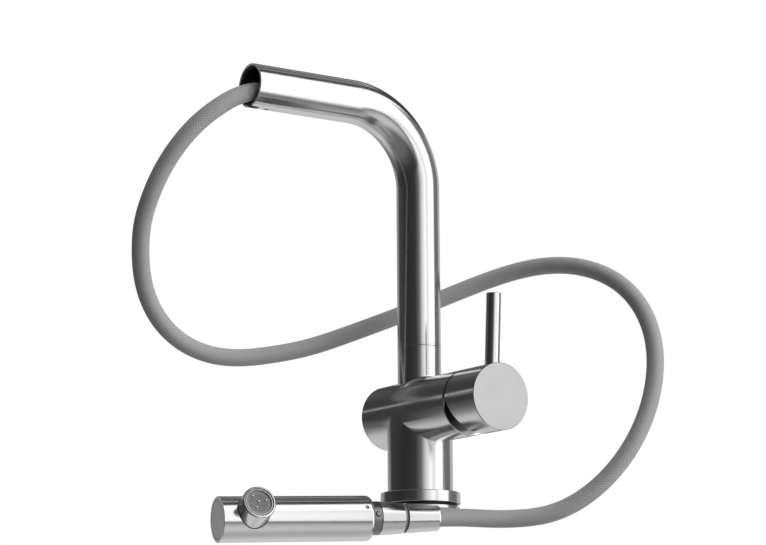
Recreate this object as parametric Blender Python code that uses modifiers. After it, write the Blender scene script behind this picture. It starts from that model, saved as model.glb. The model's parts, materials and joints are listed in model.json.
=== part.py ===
"""Pull-out kitchen faucet: single-lever mixer with a swivelling L spout and a hand shower on a hose.

Metres, +Z up. The origin is on the column's axis, at the face that seats on the worktop.
The spout points along -Y and the cross barrel with its lever handle along +X.
"""
import bpy
import bmesh
import numpy as np
from math import cos, pi, radians, sin, tan
from mathutils import Matrix, Vector

# ---------------------------------------------------------------- driving sizes (metres)
GAP = 0.0003                 # between pieces that touch
ROUND = 48                   # sides of an outer round piece
INNER = 32                   # sides of a hidden round piece
SMALL = 16                   # sides of a rod or a small hole
BARREL_SIDES = 44            # sides of the hand shower's barrel
TINY = 12                    # sides of the smallest screw
HEX = 6
OVER = 0.0010                # cutters reach this far past the faces they open
PLAY = 0.0006                # between pieces that move past one another

# base
FLANGE_H = 0.0073
FOOT_H = 0.0022
GROOVE_H = 0.0018
GASKET_INSET = 0.0010        # gaskets stand back from the rims they seal

# column, cross barrel and neck
BARREL_D = 0.0420
COLUMN_D = BARREL_D - 0.0002
FLANGE_D = COLUMN_D + 0.0092
FOOT_D = FLANGE_D - 0.0010
GASKET_D = FLANGE_D - 0.0040
BODY_WALL = 0.0030
BARREL_Z = 0.0631
BARREL_BACK = 0.0362
BARREL_FRONT = 0.0553
REAR_CAP_T = 0.0035
COLUMN_STOP = 0.0006         # column ends this far below the barrel's axis
NECK_ROOT = 0.0040           # neck starts this far above the barrel's axis
NECK_TOP = 0.1052
WASHER_T = 0.0006

# spout
TUBE_D = 0.0280
TUBE_WALL = 0.0015
ARM_Z = 0.2618
BEND_R = 0.0523
REACH = 0.1273
KEY_SLOT_W = 0.0044
KEY_SLOT_L = 0.0062
BUSH_SCREW_D = 0.0030
BUSH_SCREW_BACK = 0.0118
BUSH_SCREW_SUNK = 0.0007
BUSH_L = 0.0400
BUSH_WALL = 0.0010
SLOT_RISE = 0.0015           # cutters under the arm reach this far above its bore
BEND_SIDES = 9               # rows of faces in a quarter of the tube's outline

# swivel
SPIGOT_D = TUBE_D - 0.0080
SPIGOT_BORE_D = SPIGOT_D - 0.0054
SPIGOT_ROOT = 0.0200
SPIGOT_RISE = 0.0280
RETAINER_RISE = 0.0150       # retaining screw, above the spout's lower end
RETAINER_D = 0.0036
RETAINER_SUNK = 0.0004
SCREW_HOLE_D = 0.0046
KEY_D = 0.0020               # hexagon sockets, across the corners
KEY_DEPTH = 0.0020
SPIGOT_GROOVE_H = 0.0040
SPIGOT_GROOVE_T = 0.0010
SWIVEL_BUSH_H = 0.0055
LOWER_BUSH_RISE = 0.0008
UPPER_BUSH_DROP = 0.0062
O_RING_RISE = 0.0095

# handle
HANDLE_D = BARREL_D
HANDLE_GAP = 0.0020
HANDLE_FRONT = 0.0880
HANDLE_CAVITY = 0.0170
HANDLE_WALL = 0.0040
TILT_MAX = radians(25.0)
RELIEF_RISE = 0.0020
RELIEF_SIZE = 0.0300
HUB_L = 0.0080
GRUB_D = 0.0040
GRUB_SUNK = 0.0020
LEVER_D = 0.0093
LEVER_LEAN = radians(3.5)
LEVER_TOP = 0.1284
LEVER_X = 0.0794
LEVER_SOCKET = 0.0040        # depth of the lever's seat in the handle
STUD_D = 0.0060
STUD_L = 0.0058
STUD_ROOT = 0.0030

# cartridge
PIVOT_BACK = 0.0113          # tilt pivot, behind the barrel's front rim
SEAT_FROM = 0.0095           # ends of the valve seat along the barrel
SEAT_TO = 0.0220
SEAT_WAY_FROM = 0.0125
VALVE_GASKET_T = 0.0012
CARTRIDGE_D = BARREL_D - 2 * BODY_WALL - 0.0016
CARTRIDGE_WALL = 0.0018
DISC_T = 0.0030
DISC_REACH = 0.0100          # stem tail's reach behind the pivot
STEM_W = 0.0080
STEM_ROOT = 0.0040           # thick part of the stem starts this far behind the pivot
STEM_TAIL_D = 0.0044
STEM_PIN_D = 0.0026
STEM_PIN_INSET = 0.0054      # pin's ends inside the housing's bore
SHELL_RISE = 0.0030          # housing's front ahead of the pivot
NUT_BORE_D = 0.0250
NUT_DEPTH = 0.0018
DRIVER_BACK = 0.0035         # driver's back ahead of the stem's tail
DRIVER_PLAY = 0.0004
DRIVER_SLOT_H = 0.0190
CHAMBER_D = 0.0150
CARRIER_INSET = 0.0005
PORT_D = 0.0040

# pipes and base insert
PIPE_D = 0.0050
PIPE_RING_R = 0.0126
PIPE_SPREAD = radians(60.0)
PIPE_TURN_FROM = 0.0220      # heights between which the inlet pipes change lanes
PIPE_TURN_TO = 0.0360
PIPE_STEPS = 8
PIPE_IN_SEAT = 0.0085        # pipes' reach into the valve seat
PIPE_IN_INSERT = 0.0025
INLET_X = 0.0125             # inlet pipes' places under the valve
INLET_Y = 0.0085
WELL_STEP = 0.0005           # wells are deeper than the pipes in them
WAY_STEP = 0.0002
INSERT_FROM = 0.0010
INSERT_H = 0.0110
SOCKET_ROOF = 0.0030         # metal left above each socket
PORT_SOCKET_D = 0.0072
STUD_SOCKET_D = 0.0066

# hose
HOSE_D = 0.0112
HOSE_DROP = 0.0025           # hose axis below the arm's axis, inside the arm
HOSE_JOIN = 0.0150           # inner run ends this far inside the mouth
HOSE_PLAY = 0.0007
HOSE_FOOT = 0.0008

# hand shower, measured from the hose end of its cone along its own axis
SHOWER_AT = (0.0347, -0.0107, -0.0077)
SHOWER_YAW = radians(12.5)
SHOWER_PITCH = radians(-2.05)
NOZZLE_ROLL = radians(-70.0)
CONE_L = 0.0229
CONE_D0 = 0.0163
CONE_D1 = 0.0188
SWIVEL_GAP = 0.0020
COLLAR_L = 0.0157
COLLAR_D0 = 0.0192
COLLAR_D1 = 0.0209
NECK_L = 0.0057
NECK_D = 0.0209
NECK_IN = 0.0120             # neck's reach inside the barrel
NECK_WAY_R = 0.0052
KEY_TURN = radians(-9.5)     # locating key, round from the nozzle
LOCATING_KEY_D = 0.0032
LOCATING_KEY_SUNK = 0.0025
LOCATING_KEY_L = 0.0034
SHOWER_D = 0.0280
SHOWER_WALL = 0.0018
SHOWER_L = 0.0978
SHOULDER_R = 0.0028
NOZZLE_AT = 0.0195           # nozzle axis, inside the barrel's outer end
NOZZLE_D = 0.0209
NOZZLE_H = 0.0245
NOZZLE_WALL = 0.0012
NOZZLE_ROOT = 0.0045
NOZZLE_FLOOR = 0.0015
NOZZLE_INLET_R = 0.0060
NOZZLE_RIM = 0.0006
BLOCK_L = 0.0250
BLOCK_TOP = 0.0200
BLOCK_WAY_D = 0.0072
ELBOW_D = 0.0080
ELBOW_FROM = -0.0030
ELBOW_TO = 0.0060
WATER_PIPE_D = 0.0092
AERATOR_H = 0.0090
AERATOR_SUNK = 0.0012
AERATOR_WALL = 0.0012
AERATOR_STEP = 0.0008
AERATOR_WASHER_T = 0.0015
AERATOR_WASHER_R = 0.0055
SCREEN_SUNK = 0.0017
SCREEN_T = 0.0016
END_CAP_T = 0.0030
BARREL_SCREW_TURN = radians(4.0)
BARREL_SCREW_AT = 0.0055     # from the barrel's hose end
BARREL_SCREW_D = 0.0020
BARREL_SCREW_HOLE_D = 0.0026
BARREL_SCREW_L = 0.0008

# inside the cone and the collar
STUB_R = 0.0064
WAY_R = 0.0034
STUB_FROM = 0.0194
STUB_INSET = 0.0005
CONE_LIP = 0.0020
CONE_HOLE_R = 0.0042
CONE_SOCKET_R = 0.0068
CONE_SOCKET_AT = 0.0140
SEAL_INSET = 0.0008
HOSE_NIPPLE = [(STUB_R, 0.0190), (STUB_R, 0.0143), (0.0038, 0.0143), (0.0038, 0.0006), (0.0026, 0.0006),
               (0.0026, 0.0190)]
CHECK_VALVE_R = 0.0049
CHECK_VALVE_BORE_R = 0.0020
CHECK_VALVE_INSET = 0.0020

# free hose, in millimetres, from inside the spout's mouth towards the cone
HOSE_ROUTE = [
    (0, -112.8, 259.3), (0, -120, 258.8), (0, -127.5, 257), (-1.2, -137, 253), (-4, -147, 246.3),
    (-10, -158.5, 235.5), (-18.5, -168, 221.5), (-28, -174, 206.5), (-37.5, -177, 191), (-47, -177, 176),
    (-55, -174, 160.5), (-62.5, -168.5, 146), (-68, -160.5, 131.5), (-71, -148.5, 117.5),
    (-72, -131.5, 106.5), (-71, -112.5, 101), (-68.5, -93, 100.5), (-65, -73, 103.5),
    (-60.5, -50, 109), (-53.5, -20, 120), (-43, 12, 133.5), (-28.5, 38, 145.5), (-9, 63, 157.5),
    (14, 84, 164.5), (42, 102.5, 161.5), (68.5, 116.5, 144.5), (86.5, 122, 114.5),
    (93, 118, 81.5), (92, 107.5, 51.5), (80.5, 86, 17), (61.5, 57, -4), (52, 41, -7), (44.3, 25, -7.5),
    (37.84, 3.45, -7.18), (34.81, -10.21, -7.68),
]
ROUTE_ARM_Z = 0.2618         # arm height and reach the route was laid out for
ROUTE_REACH = 0.1273
ROUTE_LEAD = 3               # points that keep their place in the mouth
MM = 0.001

# ---------------------------------------------------------------- derived places
COLLECTION = "pull_out_kitchen_faucet"
FLANGE_BOTTOM = FOOT_H + GROOVE_H
FLANGE_TOP = FLANGE_BOTTOM + FLANGE_H
BORE_R = BARREL_D / 2 - BODY_WALL
COLUMN_BORE_R = COLUMN_D / 2 - BODY_WALL
SPOUT_BOTTOM = NECK_TOP + WASHER_T + 2 * GAP
RETAINER_Z = SPOUT_BOTTOM + RETAINER_RISE
TUBE_BORE_R = TUBE_D / 2 - TUBE_WALL
PIVOT_X = BARREL_FRONT - PIVOT_BACK
HANDLE_BACK = BARREL_FRONT + HANDLE_GAP
HOSE_Z = ARM_Z - HOSE_DROP
CAVITY_R = HANDLE_D / 2 - HANDLE_WALL
HUB_TO = HANDLE_BACK + HANDLE_CAVITY - GAP
LEVER_SEAT = HANDLE_D / 2 - LEVER_SOCKET

INSERT_TO = INSERT_FROM + INSERT_H
FOOT_X, FOOT_Y = PIPE_RING_R * cos(PIPE_SPREAD), PIPE_RING_R * sin(PIPE_SPREAD)
PIPES = {                    # places in the base insert and under the valve
    "hot_inlet": ((FOOT_X, -FOOT_Y), (INLET_X, -INLET_Y)),
    "cold_inlet": ((FOOT_X, FOOT_Y), (INLET_X, INLET_Y)),
    "mixed_outlet": ((PIPE_RING_R, 0.0), (PIPE_RING_R, 0.0)),
}
WAY_RISE = {"hot_inlet": -0.0055, "cold_inlet": -0.0055, "mixed_outlet": -0.0105}
PIPE_TOP = BARREL_Z - BORE_R + PIPE_IN_SEAT
WELL_TOP = PIPE_TOP + WELL_STEP

GASKET_FROM = SEAT_TO + GAP
GASKET_TO = GASKET_FROM + VALVE_GASKET_T
SHELL_BACK = GASKET_TO + GAP
SHELL_R = CARTRIDGE_D / 2
SHELL_BORE_R = SHELL_R - CARTRIDGE_WALL
SHELL_FLOOR = SHELL_BACK + CARTRIDGE_WALL
SHELL_FRONT = PIVOT_X + SHELL_RISE
FIXED_FROM = SHELL_FLOOR + GAP
FIXED_TO = FIXED_FROM + DISC_T

COLLAR_FROM = CONE_L + SWIVEL_GAP
COLLAR_TO = COLLAR_FROM + COLLAR_L
BARREL_FROM = COLLAR_TO + NECK_L
BARREL_TO = BARREL_FROM + SHOWER_L
NOZZLE_X = BARREL_TO - NOZZLE_AT
NECK_INNER_END = BARREL_FROM + NECK_IN
SHOWER_BORE_R = SHOWER_D / 2 - SHOWER_WALL

# a turned piece's own +Z is laid along the axis named
TURN = {
    "Z": Matrix.Identity(4),
    "X": Matrix.Rotation(pi / 2, 4, "Y"),
    "Y": Matrix.Rotation(-pi / 2, 4, "X"),
    "-Y": Matrix.Rotation(pi / 2, 4, "X"),
}


# ---------------------------------------------------------------- small tools
def clear_scene():
    for item in list(bpy.data.objects):
        bpy.data.objects.remove(item, do_unlink=True)


def new_collection(name):
    collection = bpy.data.collections.new(name)
    bpy.context.scene.collection.children.link(collection)
    return collection


def material(name, colour, metallic, roughness):
    made = bpy.data.materials.new(name)
    made.use_nodes = True
    shader = made.node_tree.nodes["Principled BSDF"]
    shader.inputs["Base Color"].default_value = (*colour, 1.0)
    shader.inputs["Metallic"].default_value = metallic
    shader.inputs["Roughness"].default_value = roughness
    made.diffuse_color = (*colour, 1.0)
    return made


FINISHES = {
    "steel": ((0.60, 0.60, 0.59), 1.0, 0.30),
    "dark_steel": ((0.30, 0.30, 0.30), 1.0, 0.40),
    "brass": ((0.72, 0.55, 0.28), 1.0, 0.35),
    "copper": ((0.75, 0.45, 0.32), 1.0, 0.35),
    "rubber": ((0.02, 0.02, 0.02), 0.0, 0.70),
    "black_plastic": ((0.03, 0.03, 0.03), 0.0, 0.45),
    "grey_plastic": ((0.16, 0.16, 0.17), 0.0, 0.50),
    "white_plastic": ((0.80, 0.80, 0.78), 0.0, 0.45),
    "ceramic": ((0.85, 0.85, 0.82), 0.0, 0.15),
    "braid": ((0.38, 0.38, 0.39), 0.0, 0.60),
}


def finish(item, name, kind):
    """Names a solid, gives it its own material and puts it in the object's collection."""
    item.name = name
    item.data.name = name
    item.data.materials.clear()
    item.data.materials.append(material(name + "_" + kind, *FINISHES[kind]))
    if item.type == "MESH":
        item.data.shade_smooth()
        item.data.set_sharp_from_angle(angle=radians(35))
    for holder in list(item.users_collection):
        holder.objects.unlink(item)
    PARTS.objects.link(item)
    return item


def mesh_object(name, build, collection=None):
    data = bpy.data.meshes.new(name)
    shape = bmesh.new()
    build(shape)
    shape.to_mesh(data)
    shape.free()
    item = bpy.data.objects.new(name, data)
    (collection or PARTS).objects.link(item)
    return item


def turned(name, profile, sides=ROUND, axis="Z", at=(0, 0, 0), holder=None):
    """A closed outline of (radius, height) points spun about an axis with a Screw modifier.

    The outline runs down its outer side and up its inner side.
    """
    def build(shape):
        corners = [shape.verts.new((r, 0, z)) for r, z in profile]
        for a, b in zip(corners, corners[1:]):
            shape.edges.new((a, b))
        if profile[0][0] > 0:
            shape.edges.new((corners[-1], corners[0]))

    item = mesh_object(name, build, holder)
    screw = item.modifiers.new("turn", "SCREW")
    screw.steps = sides
    screw.render_steps = sides
    screw.use_merge_vertices = True
    screw.merge_threshold = 0.00002
    item.matrix_world = Matrix.Translation(Vector(at)) @ TURN[axis]
    return item


def disc(outer, low, high):
    """Profile of a solid disc, running top to bottom down its outer side."""
    return [(0, high), (outer, high), (outer, low), (0, low)]


def ring(outer, inner, low, high):
    """Profile of a plain ring."""
    return [(outer, high), (outer, low), (inner, low), (inner, high)]


def rod(name, start, end, radius, sides=SMALL, holder=None):
    """A cylinder between two points."""
    start, end = Vector(start), Vector(end)
    along = end - start

    def build(shape):
        bmesh.ops.create_cone(shape, cap_ends=True, segments=sides, radius1=radius, radius2=radius,
                              depth=along.length)

    item = mesh_object(name, build, holder)
    aim = along.to_track_quat("Z", "Y").to_matrix().to_4x4()
    item.matrix_world = Matrix.Translation((start + end) / 2) @ aim
    return item


def upright(name, place, low, high, radius):
    """A vertical rod over a point of the worktop."""
    return rod(name, (*place, low), (*place, high), radius)


def on_barrel(name, profile, sides=INNER):
    """A turned piece on the cross barrel's axis; its heights are places along +X."""
    return turned(name, profile, sides, "X", (0, 0, BARREL_Z))


def along_barrel(name, low, high, radius, sides=SMALL):
    """A rod on the cross barrel's axis."""
    return rod(name, (low, 0, BARREL_Z), (high, 0, BARREL_Z), radius, sides)


def across_barrel(name, x, low, high, radius, sides=SMALL):
    """A rod along Y through the cross barrel's axis."""
    return rod(name, (x, low, BARREL_Z), (x, high, BARREL_Z), radius, sides)


def block(name, low, high, holder=None):
    """A box between two corners."""
    low, high = Vector(low), Vector(high)

    def build(shape):
        bmesh.ops.create_cube(shape, size=1.0)
        bmesh.ops.scale(shape, vec=high - low, verts=shape.verts)
        bmesh.ops.translate(shape, vec=(low + high) / 2, verts=shape.verts)

    return mesh_object(name, build, holder)


def evaluated_mesh(item, name, holder):
    """Turns a curve, or a mesh with modifiers, into a plain closed mesh object."""
    bpy.context.view_layer.update()
    source = item.evaluated_get(bpy.context.evaluated_depsgraph_get())
    data = bpy.data.meshes.new_from_object(source)
    shape = bmesh.new()
    shape.from_mesh(data)
    bmesh.ops.remove_doubles(shape, verts=shape.verts, dist=0.00001)
    shape.to_mesh(data)
    shape.free()
    solid = bpy.data.objects.new(name, data)
    solid.matrix_world = item.matrix_world.copy()
    holder.objects.link(solid)
    bpy.data.objects.remove(item, do_unlink=True)
    return solid


def path_curve(name, points, radius, resolution, holder=None):
    """A round bar along a list of points, with filled ends."""
    data = bpy.data.curves.new(name, "CURVE")
    data.dimensions = "3D"
    data.bevel_depth = radius
    data.bevel_resolution = resolution
    data.use_fill_caps = True
    spline = data.splines.new("POLY")
    spline.points.add(len(points) - 1)
    for knot, point in zip(spline.points, points):
        knot.co = (*point, 1.0)
    item = bpy.data.objects.new(name, data)
    (holder or PARTS).objects.link(item)
    return item


def boolean(item, other, operation="DIFFERENCE"):
    """Cuts one solid from another, or joins it; the cutter stays, hidden, in its own collection."""
    for holder in list(other.users_collection):
        holder.objects.unlink(other)
    CUTTERS.objects.link(other)
    other.hide_render = True
    other.display_type = "WIRE"
    change = item.modifiers.new(other.name, "BOOLEAN")
    change.operation = operation
    change.solver = "EXACT"
    change.object = other
    return item


def hang(item, parent):
    """Parents a piece and keeps it where it was built."""
    place = item.matrix_world.copy()
    item.parent = parent
    item.matrix_parent_inverse = parent.matrix_world.inverted()
    item.matrix_world = place


def mount(item, kind, frame):
    """Finishes a piece under its own name and hangs it from a moving frame."""
    return hang(finish(item, item.name, kind), frame)


def joint_frame(name, matrix, parent=None):
    empty = bpy.data.objects.new(name, None)
    empty.empty_display_size = 0.01
    PARTS.objects.link(empty)
    empty.matrix_world = matrix
    bpy.context.view_layer.update()
    if parent:
        hang(empty, parent)
    bpy.context.view_layer.update()
    return empty


def smooth_points(points, spacing):
    """Points at an even spacing on a natural cubic spline through the given points."""
    knots = np.array(points, float)
    steps = np.linalg.norm(np.diff(knots, axis=0), axis=1)
    place = np.concatenate([[0.0], np.cumsum(steps)])
    count = len(knots)
    system = np.zeros((count, count))
    right = np.zeros((count, 3))
    system[0, 0] = system[-1, -1] = 1.0
    for i in range(1, count - 1):
        before, after = steps[i - 1], steps[i]
        system[i, i - 1:i + 2] = before, 2 * (before + after), after
        right[i] = 6 * ((knots[i + 1] - knots[i]) / after - (knots[i] - knots[i - 1]) / before)
    bend = np.linalg.solve(system, right)
    wanted = np.linspace(0, place[-1], int(round(place[-1] / spacing)) + 1)
    result = []
    for s in wanted:
        i = min(np.searchsorted(place, s, side="right") - 1, count - 2)
        a, b, h = place[i + 1] - s, s - place[i], steps[i]
        result.append((bend[i] * a ** 3 + bend[i + 1] * b ** 3) / (6 * h)
                      + (knots[i] / h - bend[i] * h / 6) * a + (knots[i + 1] / h - bend[i + 1] * h / 6) * b)
    return result


def spout_path(height, start, end, radius, steps=14):
    """Up the column's axis, round the bend and out along the arm."""
    points = [(0, 0, start)]
    for i in range(steps + 1):
        angle = pi / 2 * i / steps
        points.append((0, radius * (cos(angle) - 1), height - radius + radius * sin(angle)))
    return points + [(0, -end, height)]


# ---------------------------------------------------------------- base
def make_base():
    foot = turned("base_ring", ring(FOOT_D / 2, COLUMN_BORE_R + GAP, 0, FOOT_H))
    finish(foot, "base_ring", "steel")
    seal = ring(GASKET_D / 2, COLUMN_BORE_R + GASKET_INSET, FOOT_H + GAP, FLANGE_BOTTOM - GAP)
    finish(turned("base_gasket", seal, INNER), "base_gasket", "rubber")
    flange = turned("base_flange", ring(FLANGE_D / 2, COLUMN_D / 2 + GAP, FLANGE_BOTTOM, FLANGE_TOP))
    finish(flange, "base_flange", "steel")

    insert = turned("base_insert", disc(COLUMN_BORE_R - GAP, INSERT_FROM, INSERT_TO), INNER)
    boolean(insert, upright("hose_hole", (0, 0), -OVER, INSERT_TO + OVER, HOSE_D / 2 + HOSE_PLAY))
    roof = INSERT_TO - SOCKET_ROOF
    for name, (place, _) in PIPES.items():
        boolean(insert, upright(name + "_socket", place, 0, roof, PORT_SOCKET_D / 2))
        boolean(insert, upright(name + "_seat", place, INSERT_FROM, INSERT_TO + OVER, PIPE_D / 2 + GAP))
    boolean(insert, upright("stud_socket", (-PIPE_RING_R, 0), 0, roof, STUD_SOCKET_D / 2))
    finish(insert, "base_insert", "brass")


def make_pipes():
    for name, (foot, head) in PIPES.items():
        points = [(*foot, INSERT_TO - PIPE_IN_INSERT), (*foot, PIPE_TURN_FROM)]
        for i in range(1, PIPE_STEPS):
            share = i / PIPE_STEPS
            ease = share * share * (3 - 2 * share)
            lane = [a + (b - a) * ease for a, b in zip(foot, head)]
            points.append((*lane, PIPE_TURN_FROM + (PIPE_TURN_TO - PIPE_TURN_FROM) * share))
        points += [(*head, PIPE_TURN_TO), (*head, PIPE_TOP)]
        finish(path_curve(name + "_pipe", points, PIPE_D / 2, 2), name + "_pipe", "copper")


# ---------------------------------------------------------------- mixer body and valve
def make_body():
    body = turned("mixer_body", disc(COLUMN_D / 2, FLANGE_BOTTOM, BARREL_Z - COLUMN_STOP))
    boolean(body, on_barrel("barrel", disc(BARREL_D / 2, -BARREL_BACK, BARREL_FRONT), ROUND), "UNION")
    boolean(body, turned("neck", disc(TUBE_D / 2, BARREL_Z + NECK_ROOT, NECK_TOP)), "UNION")
    boolean(body, turned("column_bore", disc(COLUMN_BORE_R, -OVER, BARREL_Z - NECK_ROOT)))
    boolean(body, turned("neck_bore", disc(SPIGOT_D / 2 + GAP, BARREL_Z + 2 * NECK_ROOT, NECK_TOP + OVER)))
    boolean(body, on_barrel("barrel_bore", disc(BORE_R, -BARREL_BACK - OVER, BARREL_FRONT + OVER), ROUND))
    finish(body, "mixer_body", "steel")
    cap = on_barrel("barrel_rear_cap", disc(BORE_R - GAP, -BARREL_BACK, -BARREL_BACK + REAR_CAP_T), ROUND)
    finish(cap, "barrel_rear_cap", "steel")


def port_cutters(name, low, high):
    """The three water ways through a face of the valve, as rods along X."""
    made = []
    for pipe, (_, head) in PIPES.items():
        height = BARREL_Z + WAY_RISE[pipe]
        made.append(rod(name + "_" + pipe, (low, head[1], height), (high, head[1], height), PORT_D / 2))
    return made


def make_valve():
    seat = on_barrel("valve_seat", disc(BORE_R - GAP, SEAT_FROM, SEAT_TO))
    for pipe, (_, head) in PIPES.items():
        way_top = BARREL_Z + WAY_RISE[pipe] + PORT_D / 2
        boolean(seat, upright(pipe + "_well", head, BARREL_Z - BORE_R - OVER, WELL_TOP, PIPE_D / 2 + GAP))
        boolean(seat, upright(pipe + "_way", head, WELL_TOP - OVER, way_top, PORT_D / 2 - WAY_STEP))
    for cutter in port_cutters("seat_way", SEAT_WAY_FROM, SEAT_TO + OVER):
        boolean(seat, cutter)
    finish(seat, "valve_seat", "brass")

    gasket = on_barrel("valve_gasket", disc(BORE_R - GASKET_INSET, GASKET_FROM, GASKET_TO))
    for cutter in port_cutters("gasket_way", GASKET_FROM - OVER, GASKET_TO + OVER):
        boolean(gasket, cutter)
    finish(gasket, "valve_gasket", "rubber")


def make_cartridge():
    shell = on_barrel("cartridge_housing",
                      [(SHELL_R, SHELL_FRONT), (SHELL_R, SHELL_BACK), (0, SHELL_BACK), (0, SHELL_FLOOR),
                       (SHELL_BORE_R, SHELL_FLOOR), (SHELL_BORE_R, SHELL_FRONT)])
    for cutter in port_cutters("shell_way", SHELL_BACK - OVER, SHELL_FLOOR + OVER):
        boolean(shell, cutter)
    finish(shell, "cartridge_housing", "grey_plastic")

    fixed = on_barrel("fixed_ceramic_disc", disc(SHELL_BORE_R - GAP, FIXED_FROM, FIXED_TO))
    for cutter in port_cutters("disc_way", FIXED_FROM - OVER, FIXED_TO + OVER):
        boolean(fixed, cutter)
    finish(fixed, "fixed_ceramic_disc", "ceramic")

    nut = ring(BORE_R - GAP, NUT_BORE_D / 2, SHELL_FRONT + GAP, BARREL_FRONT - NUT_DEPTH)
    finish(on_barrel("cartridge_nut", nut), "cartridge_nut", "steel")


def make_driver(driver_frame):
    """The parts that turn with the lever for temperature."""
    front = SHELL_FRONT - PLAY
    back = PIVOT_X - DISC_REACH + DRIVER_BACK
    half = STEM_W / 2 + PLAY
    pin_half = SHELL_BORE_R - STEM_PIN_INSET
    hole_r = STEM_PIN_D / 2 + GAP
    driver = on_barrel("cartridge_driver", disc(SHELL_BORE_R - DRIVER_PLAY, back, front))
    boolean(driver, block("driver_slot", (back - OVER, -half, BARREL_Z - DRIVER_SLOT_H / 2),
                          (front + OVER, half, BARREL_Z + DRIVER_SLOT_H / 2)))
    boolean(driver, across_barrel("driver_pin_hole", PIVOT_X, -SHELL_BORE_R - OVER, pin_half + GAP, hole_r))
    mount(driver, "white_plastic", driver_frame)
    mount(across_barrel("stem_pin", PIVOT_X, -pin_half, pin_half, STEM_PIN_D / 2), "steel", driver_frame)
    return back


def make_slide(driver_frame, driver_back):
    """The parts that slide as the lever tilts."""
    slide_frame = joint_frame("disc_slide_axis", Matrix.Translation((FIXED_TO, 0, BARREL_Z)), driver_frame)
    low = FIXED_TO + GAP
    high = low + DISC_T
    moving_r = SHELL_BORE_R - DISC_REACH * TILT_MAX - PLAY
    moving = on_barrel("moving_ceramic_disc", disc(moving_r, low, high))
    boolean(moving, along_barrel("mixing_chamber", low - OVER, (low + high) / 2, CHAMBER_D / 2))
    mount(moving, "ceramic", slide_frame)

    carrier_from = high + GAP
    carrier = on_barrel("disc_carrier", disc(moving_r - CARRIER_INSET, carrier_from, driver_back - PLAY))
    half = STEM_TAIL_D / 2 + PLAY
    boolean(carrier, block("carrier_slot", (carrier_from + PLAY, -half, BARREL_Z - half - PLAY),
                           (driver_back + OVER, half, BARREL_Z + half + PLAY)))
    mount(carrier, "black_plastic", slide_frame)


# ---------------------------------------------------------------- handle
def lever_point(height):
    """A point on the lever's leaning axis, at a distance from the barrel's axis."""
    root_x = LEVER_X - HANDLE_D / 2 * tan(LEVER_LEAN)
    return (root_x + height * sin(LEVER_LEAN), 0, BARREL_Z + height * cos(LEVER_LEAN))


def lever_rod(name, low, high, radius, sides=SMALL):
    return rod(name, lever_point(low), lever_point(high), radius, sides)


def make_handle(tilt_frame):
    half = STEM_W / 2
    stem = block("cartridge_stem", (PIVOT_X - STEM_ROOT, -half, BARREL_Z - half),
                 (HUB_TO - OVER, half, BARREL_Z + half))
    boolean(stem, along_barrel("stem_tail", PIVOT_X - DISC_REACH - DRIVER_PLAY, PIVOT_X - STEM_ROOT + OVER,
                               STEM_TAIL_D / 2), "UNION")
    boolean(stem, across_barrel("stem_pin_hole", PIVOT_X, -half - OVER, half + OVER, STEM_PIN_D / 2 + GAP))
    mount(stem, "brass", tilt_frame)

    hub_from = HUB_TO - HUB_L
    screw_x = (hub_from + HUB_TO) / 2
    socket = half + GAP
    hub = on_barrel("handle_hub", disc(CAVITY_R - GAP, hub_from, HUB_TO))
    boolean(hub, block("hub_socket", (hub_from - OVER, -socket, BARREL_Z - socket),
                       (HUB_TO + OVER, socket, BARREL_Z + socket)))
    boolean(hub, across_barrel("hub_screw_hole", screw_x, half, CAVITY_R + OVER, SCREW_HOLE_D / 2))
    mount(hub, "brass", tilt_frame)

    cavity_end = HANDLE_BACK + HANDLE_CAVITY
    shell = on_barrel("handle_shell",
                      [(0, HANDLE_FRONT), (HANDLE_D / 2, HANDLE_FRONT), (HANDLE_D / 2, HANDLE_BACK),
                       (CAVITY_R, HANDLE_BACK), (CAVITY_R, cavity_end), (0, cavity_end)], ROUND)
    # the lower rear edge is cut back by the tilt angle, so that the shell clears the barrel
    relief = block("tilt_relief", (-RELIEF_SIZE, -RELIEF_SIZE, -2 * RELIEF_SIZE), (0, RELIEF_SIZE, 0))
    relief.matrix_world = (Matrix.Translation((HANDLE_BACK, 0, BARREL_Z + RELIEF_RISE))
                           @ Matrix.Rotation(-TILT_MAX, 4, "Y"))
    boolean(shell, relief)
    boolean(shell, lever_rod("lever_seat", LEVER_SEAT, HANDLE_D, LEVER_D / 2 + GAP))
    thread_from = LEVER_SEAT - STUD_L - DRIVER_PLAY
    boolean(shell, lever_rod("lever_thread", thread_from, LEVER_SEAT + OVER, STUD_D / 2 + GAP))
    boolean(shell, across_barrel("shell_screw_hole", screw_x, CAVITY_R - OVER, HANDLE_D, SCREW_HOLE_D / 2))
    mount(shell, "steel", tilt_frame)

    lever_end = (LEVER_TOP - BARREL_Z) / cos(LEVER_LEAN)
    lever = lever_rod("lever_pin", LEVER_SEAT + GAP, lever_end, LEVER_D / 2, INNER)
    boolean(lever, lever_rod("lever_stud", LEVER_SEAT - STUD_L, LEVER_SEAT + STUD_ROOT, STUD_D / 2), "UNION")
    mount(lever, "steel", tilt_frame)
    grub_end = HANDLE_D / 2 - GRUB_SUNK
    grub = across_barrel("handle_grub_screw", screw_x, half + 2 * GAP, grub_end, GRUB_D / 2)
    boolean(grub, turned("grub_key", disc(KEY_D / 2, grub_end - KEY_DEPTH, grub_end + OVER), HEX, "Y",
                         (screw_x, 0, BARREL_Z)))
    mount(grub, "dark_steel", tilt_frame)


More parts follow.
